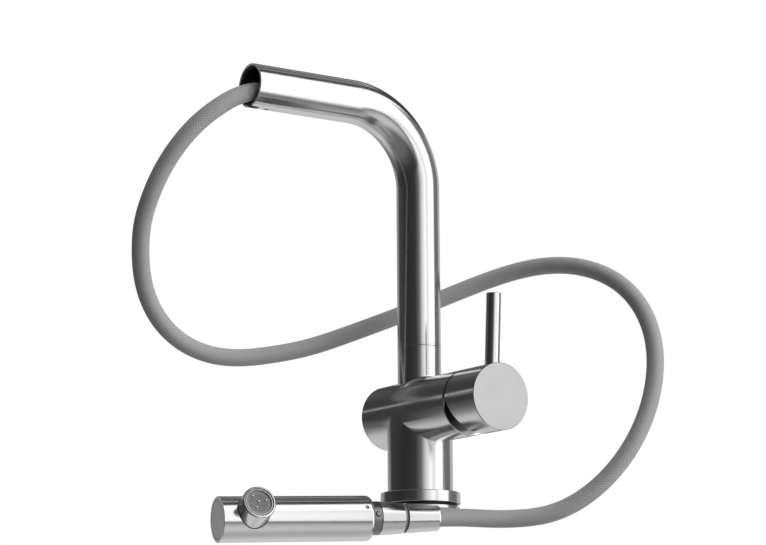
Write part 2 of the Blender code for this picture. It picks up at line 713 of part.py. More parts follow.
# ---------------------------------------------------------------- swivel and spout
def make_swivel():
    top = SPOUT_BOTTOM + SPIGOT_RISE
    root = NECK_TOP - SPIGOT_ROOT
    outer, inner = SPIGOT_D / 2, SPIGOT_BORE_D / 2
    low, high = RETAINER_Z - SPIGOT_GROOVE_H / 2, RETAINER_Z + SPIGOT_GROOVE_H / 2
    waist = outer - SPIGOT_GROOVE_T
    spigot = turned("swivel_spigot", [(outer, top), (outer, high), (waist, high), (waist, low), (outer, low),
                                      (outer, root), (inner, root), (inner, top)], INNER)
    finish(spigot, "swivel_spigot", "brass")
    washer_from = NECK_TOP + GAP
    washer = ring(TUBE_D / 2 - GAP, outer + GAP, washer_from, washer_from + WASHER_T)
    finish(turned("swivel_washer", washer, INNER), "swivel_washer", "steel")

    bush_outer = TUBE_BORE_R - GAP
    heights = {"lower_swivel_bush": LOWER_BUSH_RISE, "upper_swivel_bush": SPIGOT_RISE - UPPER_BUSH_DROP}
    for name, rise in heights.items():
        bush_from = SPOUT_BOTTOM + rise
        bush = turned(name, ring(bush_outer, outer + GAP, bush_from, bush_from + SWIVEL_BUSH_H), INNER)
        finish(bush, name, "white_plastic")
    ring_r = (bush_outer - outer - GAP) / 2
    centre = outer + GAP + ring_r
    section = [(centre + ring_r * cos(a), SPOUT_BOTTOM + O_RING_RISE + ring_r * sin(a))
               for a in (pi / 6 - pi * i / 3 for i in range(6))]
    finish(turned("swivel_o_ring", section, INNER), "swivel_o_ring", "rubber")


def make_spout(spout_frame):
    tube_path = spout_path(ARM_Z, SPOUT_BOTTOM, REACH, BEND_R)
    bar = path_curve("spout_bar", tube_path, TUBE_D / 2, BEND_SIDES)
    tube = evaluated_mesh(bar, "spout_tube", PARTS)
    bore_path = spout_path(ARM_Z, SPOUT_BOTTOM - 2 * OVER, REACH + 2 * OVER, BEND_R)
    bore_bar = path_curve("bore_bar", bore_path, TUBE_BORE_R, BEND_SIDES)
    boolean(tube, evaluated_mesh(bore_bar, "spout_bore", CUTTERS))
    low = ARM_Z - TUBE_D / 2 - OVER
    high = ARM_Z - TUBE_BORE_R + SLOT_RISE
    slot_end = -(REACH - KEY_SLOT_L + KEY_SLOT_W / 2)
    boolean(tube, block("key_slot", (-KEY_SLOT_W / 2, -REACH - OVER, low), (KEY_SLOT_W / 2, slot_end, high)))
    boolean(tube, upright("key_slot_end", (0, slot_end), low, high, KEY_SLOT_W / 2))
    screw_y = -(REACH - BUSH_SCREW_BACK)
    boolean(tube, upright("bush_screw_hole", (0, screw_y), low, high, BUSH_SCREW_D / 2))
    boolean(tube, rod("spout_screw_hole", (0, TUBE_BORE_R - OVER, RETAINER_Z), (0, TUBE_D, RETAINER_Z),
                      SCREW_HOLE_D / 2))
    mount(tube, "steel", spout_frame)

    tip = SPIGOT_D / 2 - SPIGOT_GROOVE_T / 2
    head = TUBE_D / 2 - RETAINER_SUNK
    retainer = rod("spout_retaining_screw", (0, tip, RETAINER_Z), (0, head, RETAINER_Z), RETAINER_D / 2)
    boolean(retainer, turned("retainer_key", disc(KEY_D / 2, head - KEY_DEPTH, head + OVER), HEX, "Y",
                             (0, 0, RETAINER_Z)))
    mount(retainer, "dark_steel", spout_frame)

    bush_r = TUBE_BORE_R - GAP
    bush_top = ARM_Z - bush_r + BUSH_WALL
    bush_to = REACH - OVER
    bush = turned("docking_bush", ring(bush_r, bush_r - BUSH_WALL, bush_to - BUSH_L, bush_to), INNER, "-Y",
                  (0, 0, ARM_Z))
    boolean(bush, upright("bush_screw_seat", (0, screw_y), low, bush_top + OVER, BUSH_SCREW_D / 2))
    mount(bush, "black_plastic", spout_frame)
    pin_from = ARM_Z - TUBE_D / 2 + BUSH_SCREW_SUNK
    pin = upright("bush_locating_screw", (0, screw_y), pin_from, bush_top - GAP / 3, BUSH_SCREW_D / 2 - GAP)
    mount(pin, "dark_steel", spout_frame)


def hose_route():
    """The free hose's points in metres; those near the mouth follow the arm's height and reach."""
    shift = Vector((0, ROUTE_REACH - REACH, ARM_Z - ROUTE_ARM_Z))
    fade = len(HOSE_ROUTE) // 2
    points = []
    for i, point in enumerate(HOSE_ROUTE):
        share = max(0.0, 1 - max(0, i - ROUTE_LEAD) / fade)
        points.append(tuple(Vector(point) * MM + shift * share))
    return points


def make_hose(spout_frame):
    path = spout_path(HOSE_Z, HOSE_FOOT, REACH - HOSE_JOIN - GAP, BEND_R, 10)
    mount(path_curve("hose_inner_run", path, HOSE_D / 2, 3), "braid", spout_frame)
    points = smooth_points(hose_route(), HOSE_D)
    mount(path_curve("pull_out_hose", points, HOSE_D / 2, 2), "braid", spout_frame)


# ---------------------------------------------------------------- hand shower
def shower_matrix():
    """Shower frame: Z runs from the hose to the outer end, X towards the nozzle."""
    level = cos(SHOWER_PITCH)
    along = Vector((-sin(SHOWER_YAW) * level, -cos(SHOWER_YAW) * level, sin(SHOWER_PITCH)))
    up = (Vector((0, 0, 1)) - along * along.z).normalized()
    side = along.cross(up)
    nozzle = up * cos(NOZZLE_ROLL) + side * sin(NOZZLE_ROLL)
    frame = Matrix((nozzle, along.cross(nozzle), along)).transposed().to_4x4()
    return Matrix.Translation(SHOWER_AT) @ frame


def in_shower(name, profile, sides=INNER):
    """A turned piece on the hand shower's axis."""
    item = turned(name, profile, sides)
    item.matrix_world = SHOWER
    return item


def shower_rod(name, start, end, radius, sides=SMALL):
    """A rod between two points of the shower's frame."""
    return rod(name, SHOWER @ Vector(start), SHOWER @ Vector(end), radius, sides)


def make_cone(spout_frame):
    tip, root = CONE_D0 / 2, CONE_D1 / 2
    rounding = [(tip - CONE_LIP * (1 - cos(a)), CONE_LIP - CONE_LIP * sin(a))
                for a in (pi / 8, pi / 4, 3 * pi / 8, pi / 2)]
    profile = [(root, CONE_L), (tip, CONE_LIP)] + rounding
    profile += [(CONE_HOLE_R, 0), (CONE_HOLE_R, CONE_SOCKET_AT), (CONE_SOCKET_R, CONE_SOCKET_AT),
                (CONE_SOCKET_R, CONE_L)]
    mount(in_shower("hose_cone", profile), "steel", spout_frame)
    mount(in_shower("hose_nipple", HOSE_NIPPLE, SMALL), "brass", spout_frame)


def make_inlet(shower_frame):
    """From inside the cone to inside the barrel: nipple, seal, collar, neck, key and check valve."""
    nipple = in_shower("inlet_nipple", ring(STUB_R, WAY_R, STUB_FROM, COLLAR_TO - STUB_INSET), SMALL)
    mount(nipple, "brass", shower_frame)
    hole = STUB_R + GAP
    seal = in_shower("swivel_seal", ring(CONE_D1 / 2 - SEAL_INSET, hole, CONE_L + GAP, COLLAR_FROM - GAP))
    mount(seal, "grey_plastic", shower_frame)
    collar = in_shower("shower_collar", [(COLLAR_D1 / 2, COLLAR_TO), (COLLAR_D0 / 2, COLLAR_FROM),
                                         (hole, COLLAR_FROM), (hole, COLLAR_TO)])
    mount(collar, "steel", shower_frame)

    neck_from = COLLAR_TO + GAP
    shoulder = BARREL_FROM + SHOWER_WALL + GAP
    fit_r = SHOWER_BORE_R - GAP
    neck = in_shower("shower_neck", [(fit_r, NECK_INNER_END), (fit_r, shoulder), (NECK_D / 2, shoulder),
                                     (NECK_D / 2, neck_from), (NECK_WAY_R, neck_from),
                                     (NECK_WAY_R, NECK_INNER_END)])
    way = Vector((cos(KEY_TURN), sin(KEY_TURN), 0))
    foot = way * (NECK_D / 2 - LOCATING_KEY_SUNK) + Vector((0, 0, (neck_from + BARREL_FROM) / 2))
    boolean(neck, shower_rod("key_hole", foot, foot + way * 2 * LOCATING_KEY_L, LOCATING_KEY_D / 2 + GAP))
    mount(neck, "dark_steel", shower_frame)
    key = shower_rod("locating_key", foot + way * GAP, foot + way * LOCATING_KEY_L, LOCATING_KEY_D / 2)
    mount(key, "dark_steel", shower_frame)

    valve = ring(CHECK_VALVE_R, CHECK_VALVE_BORE_R, neck_from + CHECK_VALVE_INSET, NECK_INNER_END - PLAY)
    mount(in_shower("check_valve", valve, SMALL), "white_plastic", shower_frame)


def make_shower(shower_frame):
    r = SHOWER_D / 2
    hole = NECK_D / 2 + GAP
    arc = [pi / 2 * i / 5 for i in range(6)]
    shoulder = [(r - SHOULDER_R * (1 - cos(a)), BARREL_FROM + SHOULDER_R * (1 - sin(a))) for a in arc]
    inside = [(hole, BARREL_FROM), (hole, BARREL_FROM + SHOWER_WALL),
              (SHOWER_BORE_R, BARREL_FROM + SHOWER_WALL), (SHOWER_BORE_R, BARREL_TO)]
    barrel = in_shower("shower_barrel", [(r, BARREL_TO)] + shoulder + inside, BARREL_SIDES)
    boolean(barrel, shower_rod("nozzle_hole", (0, 0, NOZZLE_X), (r + OVER, 0, NOZZLE_X), NOZZLE_D / 2 + GAP,
                               INNER))
    way = Vector((cos(BARREL_SCREW_TURN), sin(BARREL_SCREW_TURN), 0))
    start = way * (SHOWER_BORE_R + 2 * GAP) + Vector((0, 0, BARREL_FROM + BARREL_SCREW_AT))
    boolean(barrel, shower_rod("barrel_screw_hole", start - way * 2 * OVER, start + way * 4 * OVER,
                               BARREL_SCREW_HOLE_D / 2, TINY))
    mount(barrel, "steel", shower_frame)
    screw = shower_rod("barrel_locating_screw", start, start + way * BARREL_SCREW_L, BARREL_SCREW_D / 2, TINY)
    mount(screw, "dark_steel", shower_frame)
    cap = disc(SHOWER_BORE_R - GAP, BARREL_TO - END_CAP_T, BARREL_TO)
    mount(in_shower("shower_end_cap", cap, BARREL_SIDES), "dark_steel", shower_frame)


def make_nozzle(shower_frame):
    """The outlet turns square to the barrel: a water block, a short barrel and the aerator in its mouth."""
    outward = SHOWER @ Matrix.Translation((0, 0, NOZZLE_X)) @ Matrix.Rotation(pi / 2, 4, "Y")
    r = NOZZLE_D / 2
    inner = r - NOZZLE_WALL

    def in_nozzle(name, profile):
        item = turned(name, profile, INNER)
        item.matrix_world = outward
        return item

    def nozzle_rod(name, low, high, radius):
        return rod(name, outward @ Vector((0, 0, low)), outward @ Vector((0, 0, high)), radius)

    block_from = NOZZLE_X - BLOCK_L / 2
    water = in_shower("water_block", disc(SHOWER_BORE_R - GAP, block_from, NOZZLE_X + BLOCK_L / 2))
    boolean(water, nozzle_rod("block_outlet", NOZZLE_ROOT, BLOCK_TOP, r + GAP))
    boolean(water, nozzle_rod("block_elbow", ELBOW_FROM, ELBOW_TO, ELBOW_D / 2))
    boolean(water, shower_rod("block_inlet", (0, 0, block_from - OVER), (0, 0, NOZZLE_X), BLOCK_WAY_D / 2))
    mount(water, "grey_plastic", shower_frame)
    pipe = ring(WATER_PIPE_D / 2, WAY_R, NECK_INNER_END + GAP, block_from - GAP)
    mount(in_shower("water_pipe", pipe, SMALL), "white_plastic", shower_frame)

    root = NOZZLE_ROOT + GAP
    floor = root + NOZZLE_FLOOR
    top = NOZZLE_H - NOZZLE_RIM
    barrel = in_nozzle("nozzle_barrel", [(r, top), (r, root), (NOZZLE_INLET_R, root), (NOZZLE_INLET_R, floor),
                                         (inner, floor), (inner, top)])
    mount(barrel, "steel", shower_frame)
    seat = NOZZLE_H - AERATOR_H
    housing_r = inner - GAP
    washer = ring(housing_r - GAP, AERATOR_WASHER_R, seat - AERATOR_WASHER_T, seat - GAP)
    mount(in_nozzle("aerator_washer", washer), "rubber", shower_frame)
    lip = housing_r - AERATOR_WALL
    ledge = NOZZLE_H - SCREEN_SUNK - SCREEN_T
    front = NOZZLE_H - AERATOR_SUNK
    housing = in_nozzle("aerator_housing", [(housing_r, front), (housing_r, seat), (lip - AERATOR_STEP, seat),
                                            (lip - AERATOR_STEP, ledge), (lip, ledge), (lip, front)])
    mount(housing, "grey_plastic", shower_frame)
    screen = in_nozzle("aerator_screen", disc(lip - GAP, ledge + GAP, NOZZLE_H - SCREEN_SUNK))
    mount(screen, "grey_plastic", shower_frame)


# ---------------------------------------------------------------- assembly
clear_scene()
PARTS = new_collection(COLLECTION)
CUTTERS = new_collection("cutters")
SHOWER = shower_matrix()

make_base()
make_pipes()
make_body()
make_valve()
make_cartridge()
pivot = Matrix.Translation((PIVOT_X, 0, BARREL_Z))
temperature_frame = joint_frame("temperature_axis", pivot)
make_slide(temperature_frame, make_driver(temperature_frame))
make_handle(joint_frame("flow_axis", pivot, temperature_frame))
make_swivel()
swivel_frame = joint_frame("spout_swivel_axis", Matrix.Identity(4))
make_spout(swivel_frame)
make_hose(swivel_frame)
make_cone(swivel_frame)
swivelling_shower = joint_frame("shower_swivel_axis", SHOWER, swivel_frame)
make_inlet(swivelling_shower)
make_shower(swivelling_shower)
make_nozzle(swivelling_shower)
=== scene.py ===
"""Pull-out kitchen faucet: the finished surface of every piece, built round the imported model.

Each operator makes one piece or a group of like pieces, and all of them stand in the model's own
frame, in metres. The spout points along -Y, and the cross barrel with its lever handle along +X.
"""
import json
from math import atan2, cos, pi, radians, sin, sqrt, tan

import bpy
import numpy as np
from bpy.props import FloatProperty, FloatVectorProperty, IntProperty, PointerProperty
from mathutils import Matrix, Vector


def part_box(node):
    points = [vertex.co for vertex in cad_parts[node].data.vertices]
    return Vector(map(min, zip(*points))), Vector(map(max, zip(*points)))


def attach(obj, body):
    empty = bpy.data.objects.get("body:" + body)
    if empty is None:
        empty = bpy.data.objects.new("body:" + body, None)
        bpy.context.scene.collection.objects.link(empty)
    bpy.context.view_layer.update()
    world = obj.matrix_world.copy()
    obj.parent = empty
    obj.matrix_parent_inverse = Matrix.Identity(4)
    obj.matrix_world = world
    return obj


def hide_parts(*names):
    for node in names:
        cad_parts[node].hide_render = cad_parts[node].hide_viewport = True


bl_info = {
    "name": "Pull-out kitchen faucet",
    "version": (1, 0, 0),
    "blender": (4, 5, 0),
    "location": "3D View > Sidebar > Faucet",
    "description": "Builds the finished pieces of a single-lever kitchen faucet with a pull-out hand shower",
    "category": "Object",
}

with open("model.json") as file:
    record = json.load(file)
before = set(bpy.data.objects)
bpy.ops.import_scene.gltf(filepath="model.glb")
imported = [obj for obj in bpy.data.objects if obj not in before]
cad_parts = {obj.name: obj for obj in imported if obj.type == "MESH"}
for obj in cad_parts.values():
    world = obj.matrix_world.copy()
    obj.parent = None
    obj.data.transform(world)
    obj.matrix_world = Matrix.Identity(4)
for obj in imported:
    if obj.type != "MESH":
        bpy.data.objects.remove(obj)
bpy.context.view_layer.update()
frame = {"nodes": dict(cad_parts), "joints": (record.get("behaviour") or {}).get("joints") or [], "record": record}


def low(node, axis):
    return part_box(node)[0][axis]


def high(node, axis):
    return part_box(node)[1][axis]


def across(node, axis):
    return high(node, axis) - low(node, axis)


# ---------------------------------------------------------------- sizes and colours a user may change
def length(name, description, default):
    return FloatProperty(name=name, description=description, default=default, min=0.0, precision=5,
            unit="LENGTH")


def colour(name, description, default):
    return FloatVectorProperty(name=name, description=description, default=default, subtype="COLOR",
            min=0.0, max=1.0)


class FaucetSizes(bpy.types.PropertyGroup):
    """Sizes of the pieces, in metres"""
    sides: IntProperty(name="Sides", description="Sides of a turned piece", default=128, min=24, max=256)
    edge: length("Edge", "Rounding of a machined edge", 0.0004)
    column_d: length("Column diameter", "Outer diameter of the upright column", 0.0418)
    barrel_d: length("Barrel diameter", "Outer diameter of the cross barrel", across("mixer_body", 1))
    body_wall: length("Body wall", "Wall of the column and the cross barrel", 0.0030)
    neck_fillet: length("Neck fillet", "Rounding where the neck meets the cross barrel", 0.0020)
    tube_d: length("Spout diameter", "Outer diameter of the spout tube", across("spout_tube", 0))
    tube_wall: length("Spout wall", "Wall of the spout tube", 0.0015)
    bend_r: length("Bend radius", "Radius of the spout's bend, to the tube's centre line", 0.0523)
    handle_wall: length("Handle wall", "Wall of the handle shell", 0.0040)
    lever_d: length("Lever diameter", "Diameter of the lever pin", 0.0093)
    hose_d: length("Hose diameter", "Outer diameter of the woven hose", 0.0112)
    shower_d: length("Shower diameter", "Outer diameter of the hand shower's barrel", 0.0280)
    nozzle_d: length("Nozzle diameter", "Outer diameter of the nozzle", 0.0209)


class FaucetFinishes(bpy.types.PropertyGroup):
    """Colours of the finishes"""
    steel: colour("Steel", "Brushed stainless steel", (0.66, 0.66, 0.655))
    # the handle face is the same steel painted darker, as painted shade, so that its reflection of the bright
    # panel comes out dimmer
    cap: colour("Handle face", "Matt brushed face of the handle", (0.41, 0.41, 0.408))
    # the dark steel is partly the steel's own dark finish and partly painted shade, darkened further for the shade
    # that the collar and barrel cast on the shower's neck
    dark_steel: colour("Dark steel", "Darkened steel of the neck, the screws and the key", (0.22, 0.22, 0.22))
    # the cords are one grey; the gap colour is painted shade in the gaps between them and where one cord dips
    # under another
    cord: colour("Hose cord", "Raised cords of the woven hose", (0.47, 0.47, 0.478))
    cord_gap_shade: colour("Hose gaps", "Gaps between the woven cords", (0.19, 0.19, 0.195))
    rubber: colour("Rubber", "Seals and gaskets", (0.012, 0.012, 0.012))
    black: colour("Black plastic", "Sleeve in the spout's mouth and other dark mouldings",
            (0.016, 0.016, 0.017))
    grey: colour("Grey plastic", "Aerator and water block", (0.20, 0.20, 0.205))
    white: colour("White plastic", "Hidden bushes and the water pipe", (0.74, 0.74, 0.72))
    brass: colour("Brass", "Valve seat, insert and hub", (0.70, 0.52, 0.26))
    copper: colour("Copper", "Inner pipes", (0.74, 0.42, 0.30))
    ceramic: colour("Ceramic", "Valve discs", (0.82, 0.82, 0.80))
    floor: colour("Floor", "Plain studio floor", (0.86, 0.86, 0.86))


# ---------------------------------------------------------------- places and sizes that pieces share
GAP = 0.0003  # between pieces that fit together
OVER = 0.001  # how far a cutter passes the surface that it cuts
MM = 1000.0  # millimetres in a metre
JOINTS = {joint["name"]: joint for joint in frame["joints"]}
BARREL_Z = JOINTS["flow_tilt"]["pos_m"][2]
SHOWER_AT = Vector(JOINTS["shower_swivel"]["pos_m"])
SHOWER_AXIS = Vector(JOINTS["shower_swivel"]["axis"]).normalized()
ALONG_X = Matrix.Rotation(pi / 2, 4, "Y")
ALONG_BACK_Y = Matrix.Rotation(pi / 2, 4, "X")
BARREL = Matrix.Translation((0, 0, BARREL_Z)) @ ALONG_X

# the lever pin leans outwards, and its axis leaves the round of the handle at this X
LEVER_LEAN = radians(3.5)
LEVER_AXIS = Vector((sin(LEVER_LEAN), 0, cos(LEVER_LEAN)))
LEVER_X, HANDLE_R = 0.0794, 0.0210
LEVER_FROM = Vector((LEVER_X - HANDLE_R * tan(LEVER_LEAN), 0, BARREL_Z))
LEVER_SEAT = 0.0170
STEM_FROM, STEM_R, STEM_CLEAR = 0.0112, 0.0030, 0.0004
HANDLE_DEPTH = 0.0170
RELIEF_RISE, RELIEF_ANGLE = 0.0020, radians(25)
SCREW_HOLE_R = 0.0023

# places along the hand shower, from the tip of the hose cone, and radii
CONE_L, CONE_TIP_R, CONE_ROOT_R, CONE_LIP = 0.0229, 0.00815, 0.0094, 0.0020
HOSE_SLIP = 0.0001
SWIVEL_BORE_R = 0.0067
COLLAR_FROM, COLLAR_TO, COLLAR_FROM_R, COLLAR_TO_R = 0.0249, 0.0406, 0.0096, 0.01045
NECK_R, NECK_BORE_R, NECK_DEPTH = 0.01045, 0.0052, 0.0120
KEY_R, KEY_L, KEY_SUNK, KEY_TURN = 0.0016, 0.0034, 0.0025, radians(-9.5)
BARREL_FROM, BARREL_TO = 0.0463, 0.1441
SHOWER_WALL, SHOULDER_R = 0.0018, 0.0028
BARREL_SCREW_AT, BARREL_SCREW_R, BARREL_SCREW_TURN = 0.0055, 0.0010, radians(4)
NOZZLE_AT, NOZZLE_H, NOZZLE_WALL, NOZZLE_ROLL = 0.1246, 0.0245, 0.0013, radians(-70)

HOSE_ROUTE = (
    (0, -0.1128, 0.2593), (0, -0.120, 0.2588), (0, -0.1275, 0.257), (-0.0012, -0.137, 0.253),
    (-0.004, -0.147, 0.2463), (-0.010, -0.1585, 0.2355), (-0.0185, -0.168, 0.2215),
    (-0.028, -0.174, 0.2065), (-0.0375, -0.177, 0.191), (-0.047, -0.177, 0.176),
    (-0.055, -0.174, 0.1605), (-0.0625, -0.1685, 0.146), (-0.068, -0.1605, 0.1315),
    (-0.071, -0.1485, 0.1175), (-0.072, -0.1315, 0.1065), (-0.071, -0.1125, 0.101),
    (-0.0685, -0.093, 0.1005), (-0.065, -0.073, 0.1035), (-0.0605, -0.050, 0.109),
    (-0.0535, -0.020, 0.120), (-0.043, 0.012, 0.1335), (-0.0285, 0.038, 0.1455),
    (-0.009, 0.063, 0.1575), (0.014, 0.084, 0.1645), (0.042, 0.1025, 0.1615),
    (0.0685, 0.1165, 0.1445), (0.0865, 0.122, 0.1145), (0.093, 0.118, 0.0815),
    (0.092, 0.1075, 0.0515), (0.0805, 0.086, 0.017), (0.0615, 0.057, -0.004),
    (0.052, 0.041, -0.007), (0.0443, 0.025, -0.0075), (0.03784, 0.00345, -0.00718),
    (0.03481, -0.01021, -0.00768),
)


def shower_frame():
    """Z runs from the hose to the outer end of the hand shower, X towards its nozzle."""
    upright = (Vector((0, 0, 1)) - SHOWER_AXIS * SHOWER_AXIS.z).normalized()
    nozzle = upright * cos(NOZZLE_ROLL) + SHOWER_AXIS.cross(upright) * sin(NOZZLE_ROLL)
    turned = Matrix((nozzle, SHOWER_AXIS.cross(nozzle), SHOWER_AXIS)).transposed().to_4x4()
    return Matrix.Translation(SHOWER_AT) @ turned


SHOWER = shower_frame()
NOZZLE = SHOWER @ Matrix.Translation((0, 0, NOZZLE_AT)) @ ALONG_X


# ---------------------------------------------------------------- modelling
def start_piece():
    if bpy.context.object and bpy.context.object.mode != "OBJECT":
        bpy.ops.object.mode_set(mode="OBJECT")
    bpy.ops.object.select_all(action="DESELECT")


def pick(item):
    start_piece()
    item.select_set(True)
    bpy.context.view_layer.objects.active = item


def apply_modifier(item, kind, **settings):
    pick(item)
    bpy.ops.object.modifier_add(type=kind)
    change = item.modifiers[-1]
    for name, value in settings.items():
        setattr(change, name, value)
    bpy.ops.object.modifier_apply(modifier=change.name)


def settle(item, place):
    """Puts the piece in its place and leaves that place in its mesh."""
    pick(item)
    item.matrix_world = place
    bpy.ops.object.transform_apply(location=True, rotation=True, scale=True)


def soften(item, width, segments=3, angle=32):
    apply_modifier(item, "BEVEL", width=width, segments=segments, limit_method="ANGLE",
            angle_limit=radians(angle), use_clamp_overlap=True)


def smooth(item, angle):
    """Rounds the shading, and keeps flat faces flat."""
    pick(item)
    bpy.ops.object.shade_smooth_by_angle(angle=radians(angle))
    apply_modifier(item, "WEIGHTED_NORMAL", keep_sharp=True, weight=80)


def turned(name, outline, place=Matrix.Identity(4), closed=False, sides=None, edge=None):
    """A turned piece: a ring raised and resized from corner to corner of an outline of (radius, height)."""
    start_piece()
    sides = sides or bpy.context.scene.faucet_sizes.sides
    bpy.ops.mesh.primitive_circle_add(vertices=sides, radius=outline[0][0])
    item = bpy.context.object
    item.name = name
    item.data.name = name
    bpy.ops.object.mode_set(mode="EDIT")
    bpy.ops.mesh.select_all(action="SELECT")
    bpy.ops.transform.translate(value=(0, 0, outline[0][1]))
    for (before_r, before_z), (after_r, after_z) in zip(outline, outline[1:]):
        bpy.ops.mesh.extrude_region_move(TRANSFORM_OT_translate={"value": (0, 0, after_z - before_z)})
        share = after_r / before_r
        bpy.ops.transform.resize(value=(share, share, 1), center_override=(0, 0, after_z))
    bpy.ops.mesh.select_all(action="DESELECT")
    bpy.ops.mesh.select_mode(type="EDGE")
    bpy.ops.mesh.select_non_manifold(extend=False, use_wire=True, use_boundary=True,
            use_multi_face=False, use_non_contiguous=False, use_verts=False)
    if closed:
        bpy.ops.mesh.bridge_edge_loops()
    else:
        bpy.ops.mesh.fill_holes(sides=0)
    bpy.ops.mesh.select_all(action="SELECT")
    bpy.ops.mesh.normals_make_consistent(inside=False)
    bpy.ops.object.mode_set(mode="OBJECT")
    if edge:
        soften(item, edge)
    settle(item, place)
    return item


def rod(name, start, end, radius, sides=32):
    start, end = Vector(start), Vector(end)
    start_piece()
    bpy.ops.mesh.primitive_cylinder_add(vertices=sides, radius=radius, depth=(end - start).length)
    item = bpy.context.object
    item.name = name
    turn = (end - start).to_track_quat("Z", "Y").to_matrix().to_4x4()
    settle(item, Matrix.Translation((start + end) / 2) @ turn)
    return item


def block(name, corner, opposite, place=Matrix.Identity(4)):
    corner, opposite = Vector(corner), Vector(opposite)
    start_piece()
    bpy.ops.mesh.primitive_cube_add(size=1)
    item = bpy.context.object
    item.name = name
    scale = Matrix.Diagonal((*(opposite - corner), 1))
    settle(item, place @ Matrix.Translation((corner + opposite) / 2) @ scale)
    return item


def combine(item, other, operation):
    """Cuts the other solid from the piece, or joins it on, and removes the other."""
    apply_modifier(item, "BOOLEAN", operation=operation, solver="EXACT", object=other)
    bpy.data.objects.remove(other)
    return item


def cut(item, *cutters):
    for cutter in cutters:
        combine(item, cutter, "DIFFERENCE")
    return item


def ring(outer, inner, bottom, top):
    return [(outer, top), (outer, bottom), (inner, bottom), (inner, top)]


def solid(radius, bottom, top):
    return [(radius, top), (radius, bottom)]


def rounded(points, radius, steps=5):
    """Rounds the corner between the three given (radius, height) points."""
    before, corner, after = (Vector(point) for point in points)
    to_before = (before - corner).normalized()
    to_after = (after - corner).normalized()
    centre = corner + (to_before + to_after) * radius
    made = []
    for i in range(steps + 1):
        a = pi / 2 * i / steps
        made.append(tuple(centre - to_after * radius * cos(a) - to_before * radius * sin(a)))
    return made


def join(items):
    """Joins the pieces into the first one."""
    start_piece()
    for item in items:
        item.select_set(True)
    bpy.context.view_layer.objects.active = items[0]
    bpy.ops.object.join()
    return items[0]


def dress(item, body, kind, slot, *nodes, angle=30):
    """Smooths a piece, gives it its finish, and hangs it on its body in place of its nodes."""
    if angle:
        smooth(item, angle)
    item.data.materials.clear()
    item.data.materials.append(finish(kind))
    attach(item, body)
    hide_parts(*nodes)


def socket_screw(name, body, cad_node, x, z, radius, key_r, key_from, key_to):
    """A dark screw along Y, with a hexagon socket cut from one Y to another."""
    screw = rod(name, (x, low(cad_node, 1), z), (x, high(cad_node, 1), z), radius, 48)
    cut(screw, rod("socket", (x, key_from, z), (x, key_to, z), key_r, 6))
    soften(screw, 0.0002, 2, 40)
    dress(screw, body, "dark_steel", "dark_steel", cad_node)


# ---------------------------------------------------------------- finishes
def node(tree, kind, inputs=None, **settings):
    made = tree.nodes.new(kind)
    for name, value in settings.items():
        setattr(made, name, value)
    for name, value in (inputs or {}).items():
        if isinstance(value, bpy.types.NodeSocket):
            tree.links.new(value, made.inputs[name])
        else:
            made.inputs[name].default_value = value
    return made


def maths(tree, operation, first, second=0.0, third=0.0):
    return node(tree, "ShaderNodeMath", {0: first, 1: second, 2: third}, operation=operation).outputs[0]


def noise(tree, vector, scale, detail=3.0, roughness=0.6):
    made = node(tree, "ShaderNodeTexNoise", {"Vector": vector, "Scale": scale, "Detail": detail,
            "Roughness": roughness})
    return made.outputs["Fac"]


def spread(tree, value, low_in, high_in, low_out, high_out):
    made = node(tree, "ShaderNodeMapRange", {0: value, 1: low_in, 2: high_in, 3: low_out, 4: high_out})
    return made.outputs[0]


def shade(colour_value, share):
    return (*(min(1.0, channel * share) for channel in colour_value), 1.0)


def blend_colours(tree, factor, first, second):
    made = node(tree, "ShaderNodeMix", data_type="RGBA", clamp_factor=True)
    for index, value in ((0, factor), (6, first), (7, second)):
        if isinstance(value, bpy.types.NodeSocket):
            tree.links.new(value, made.inputs[index])
        else:
            made.inputs[index].default_value = value
    return made.outputs[2]


def new_finish(name, metallic, roughness):
    made = bpy.data.materials.new(name)
    made.use_nodes = True
    shader = made.node_tree.nodes["Principled BSDF"]
    shader.inputs["Metallic"].default_value = metallic
    shader.inputs["Roughness"].default_value = roughness
    return made, made.node_tree, shader


def bump(tree, shader, height, strength, distance):
    made = node(tree, "ShaderNodeBump", {"Height": height, "Strength": strength, "Distance": distance})
    tree.links.new(made.outputs["Normal"], shader.inputs["Normal"])


def tone(tree, shader, value, span, first, second):
    """Colours the finish from the first tone to the second as the value goes through its span."""
    mixed = blend_colours(tree, spread(tree, value, *span, 0.0, 1.0), first, second)
    tree.links.new(mixed, shader.inputs["Base Color"])


def roughen(tree, shader, value, smoothest, roughest):
    tree.links.new(spread(tree, value, 0.3, 0.7, smoothest, roughest), shader.inputs["Roughness"])


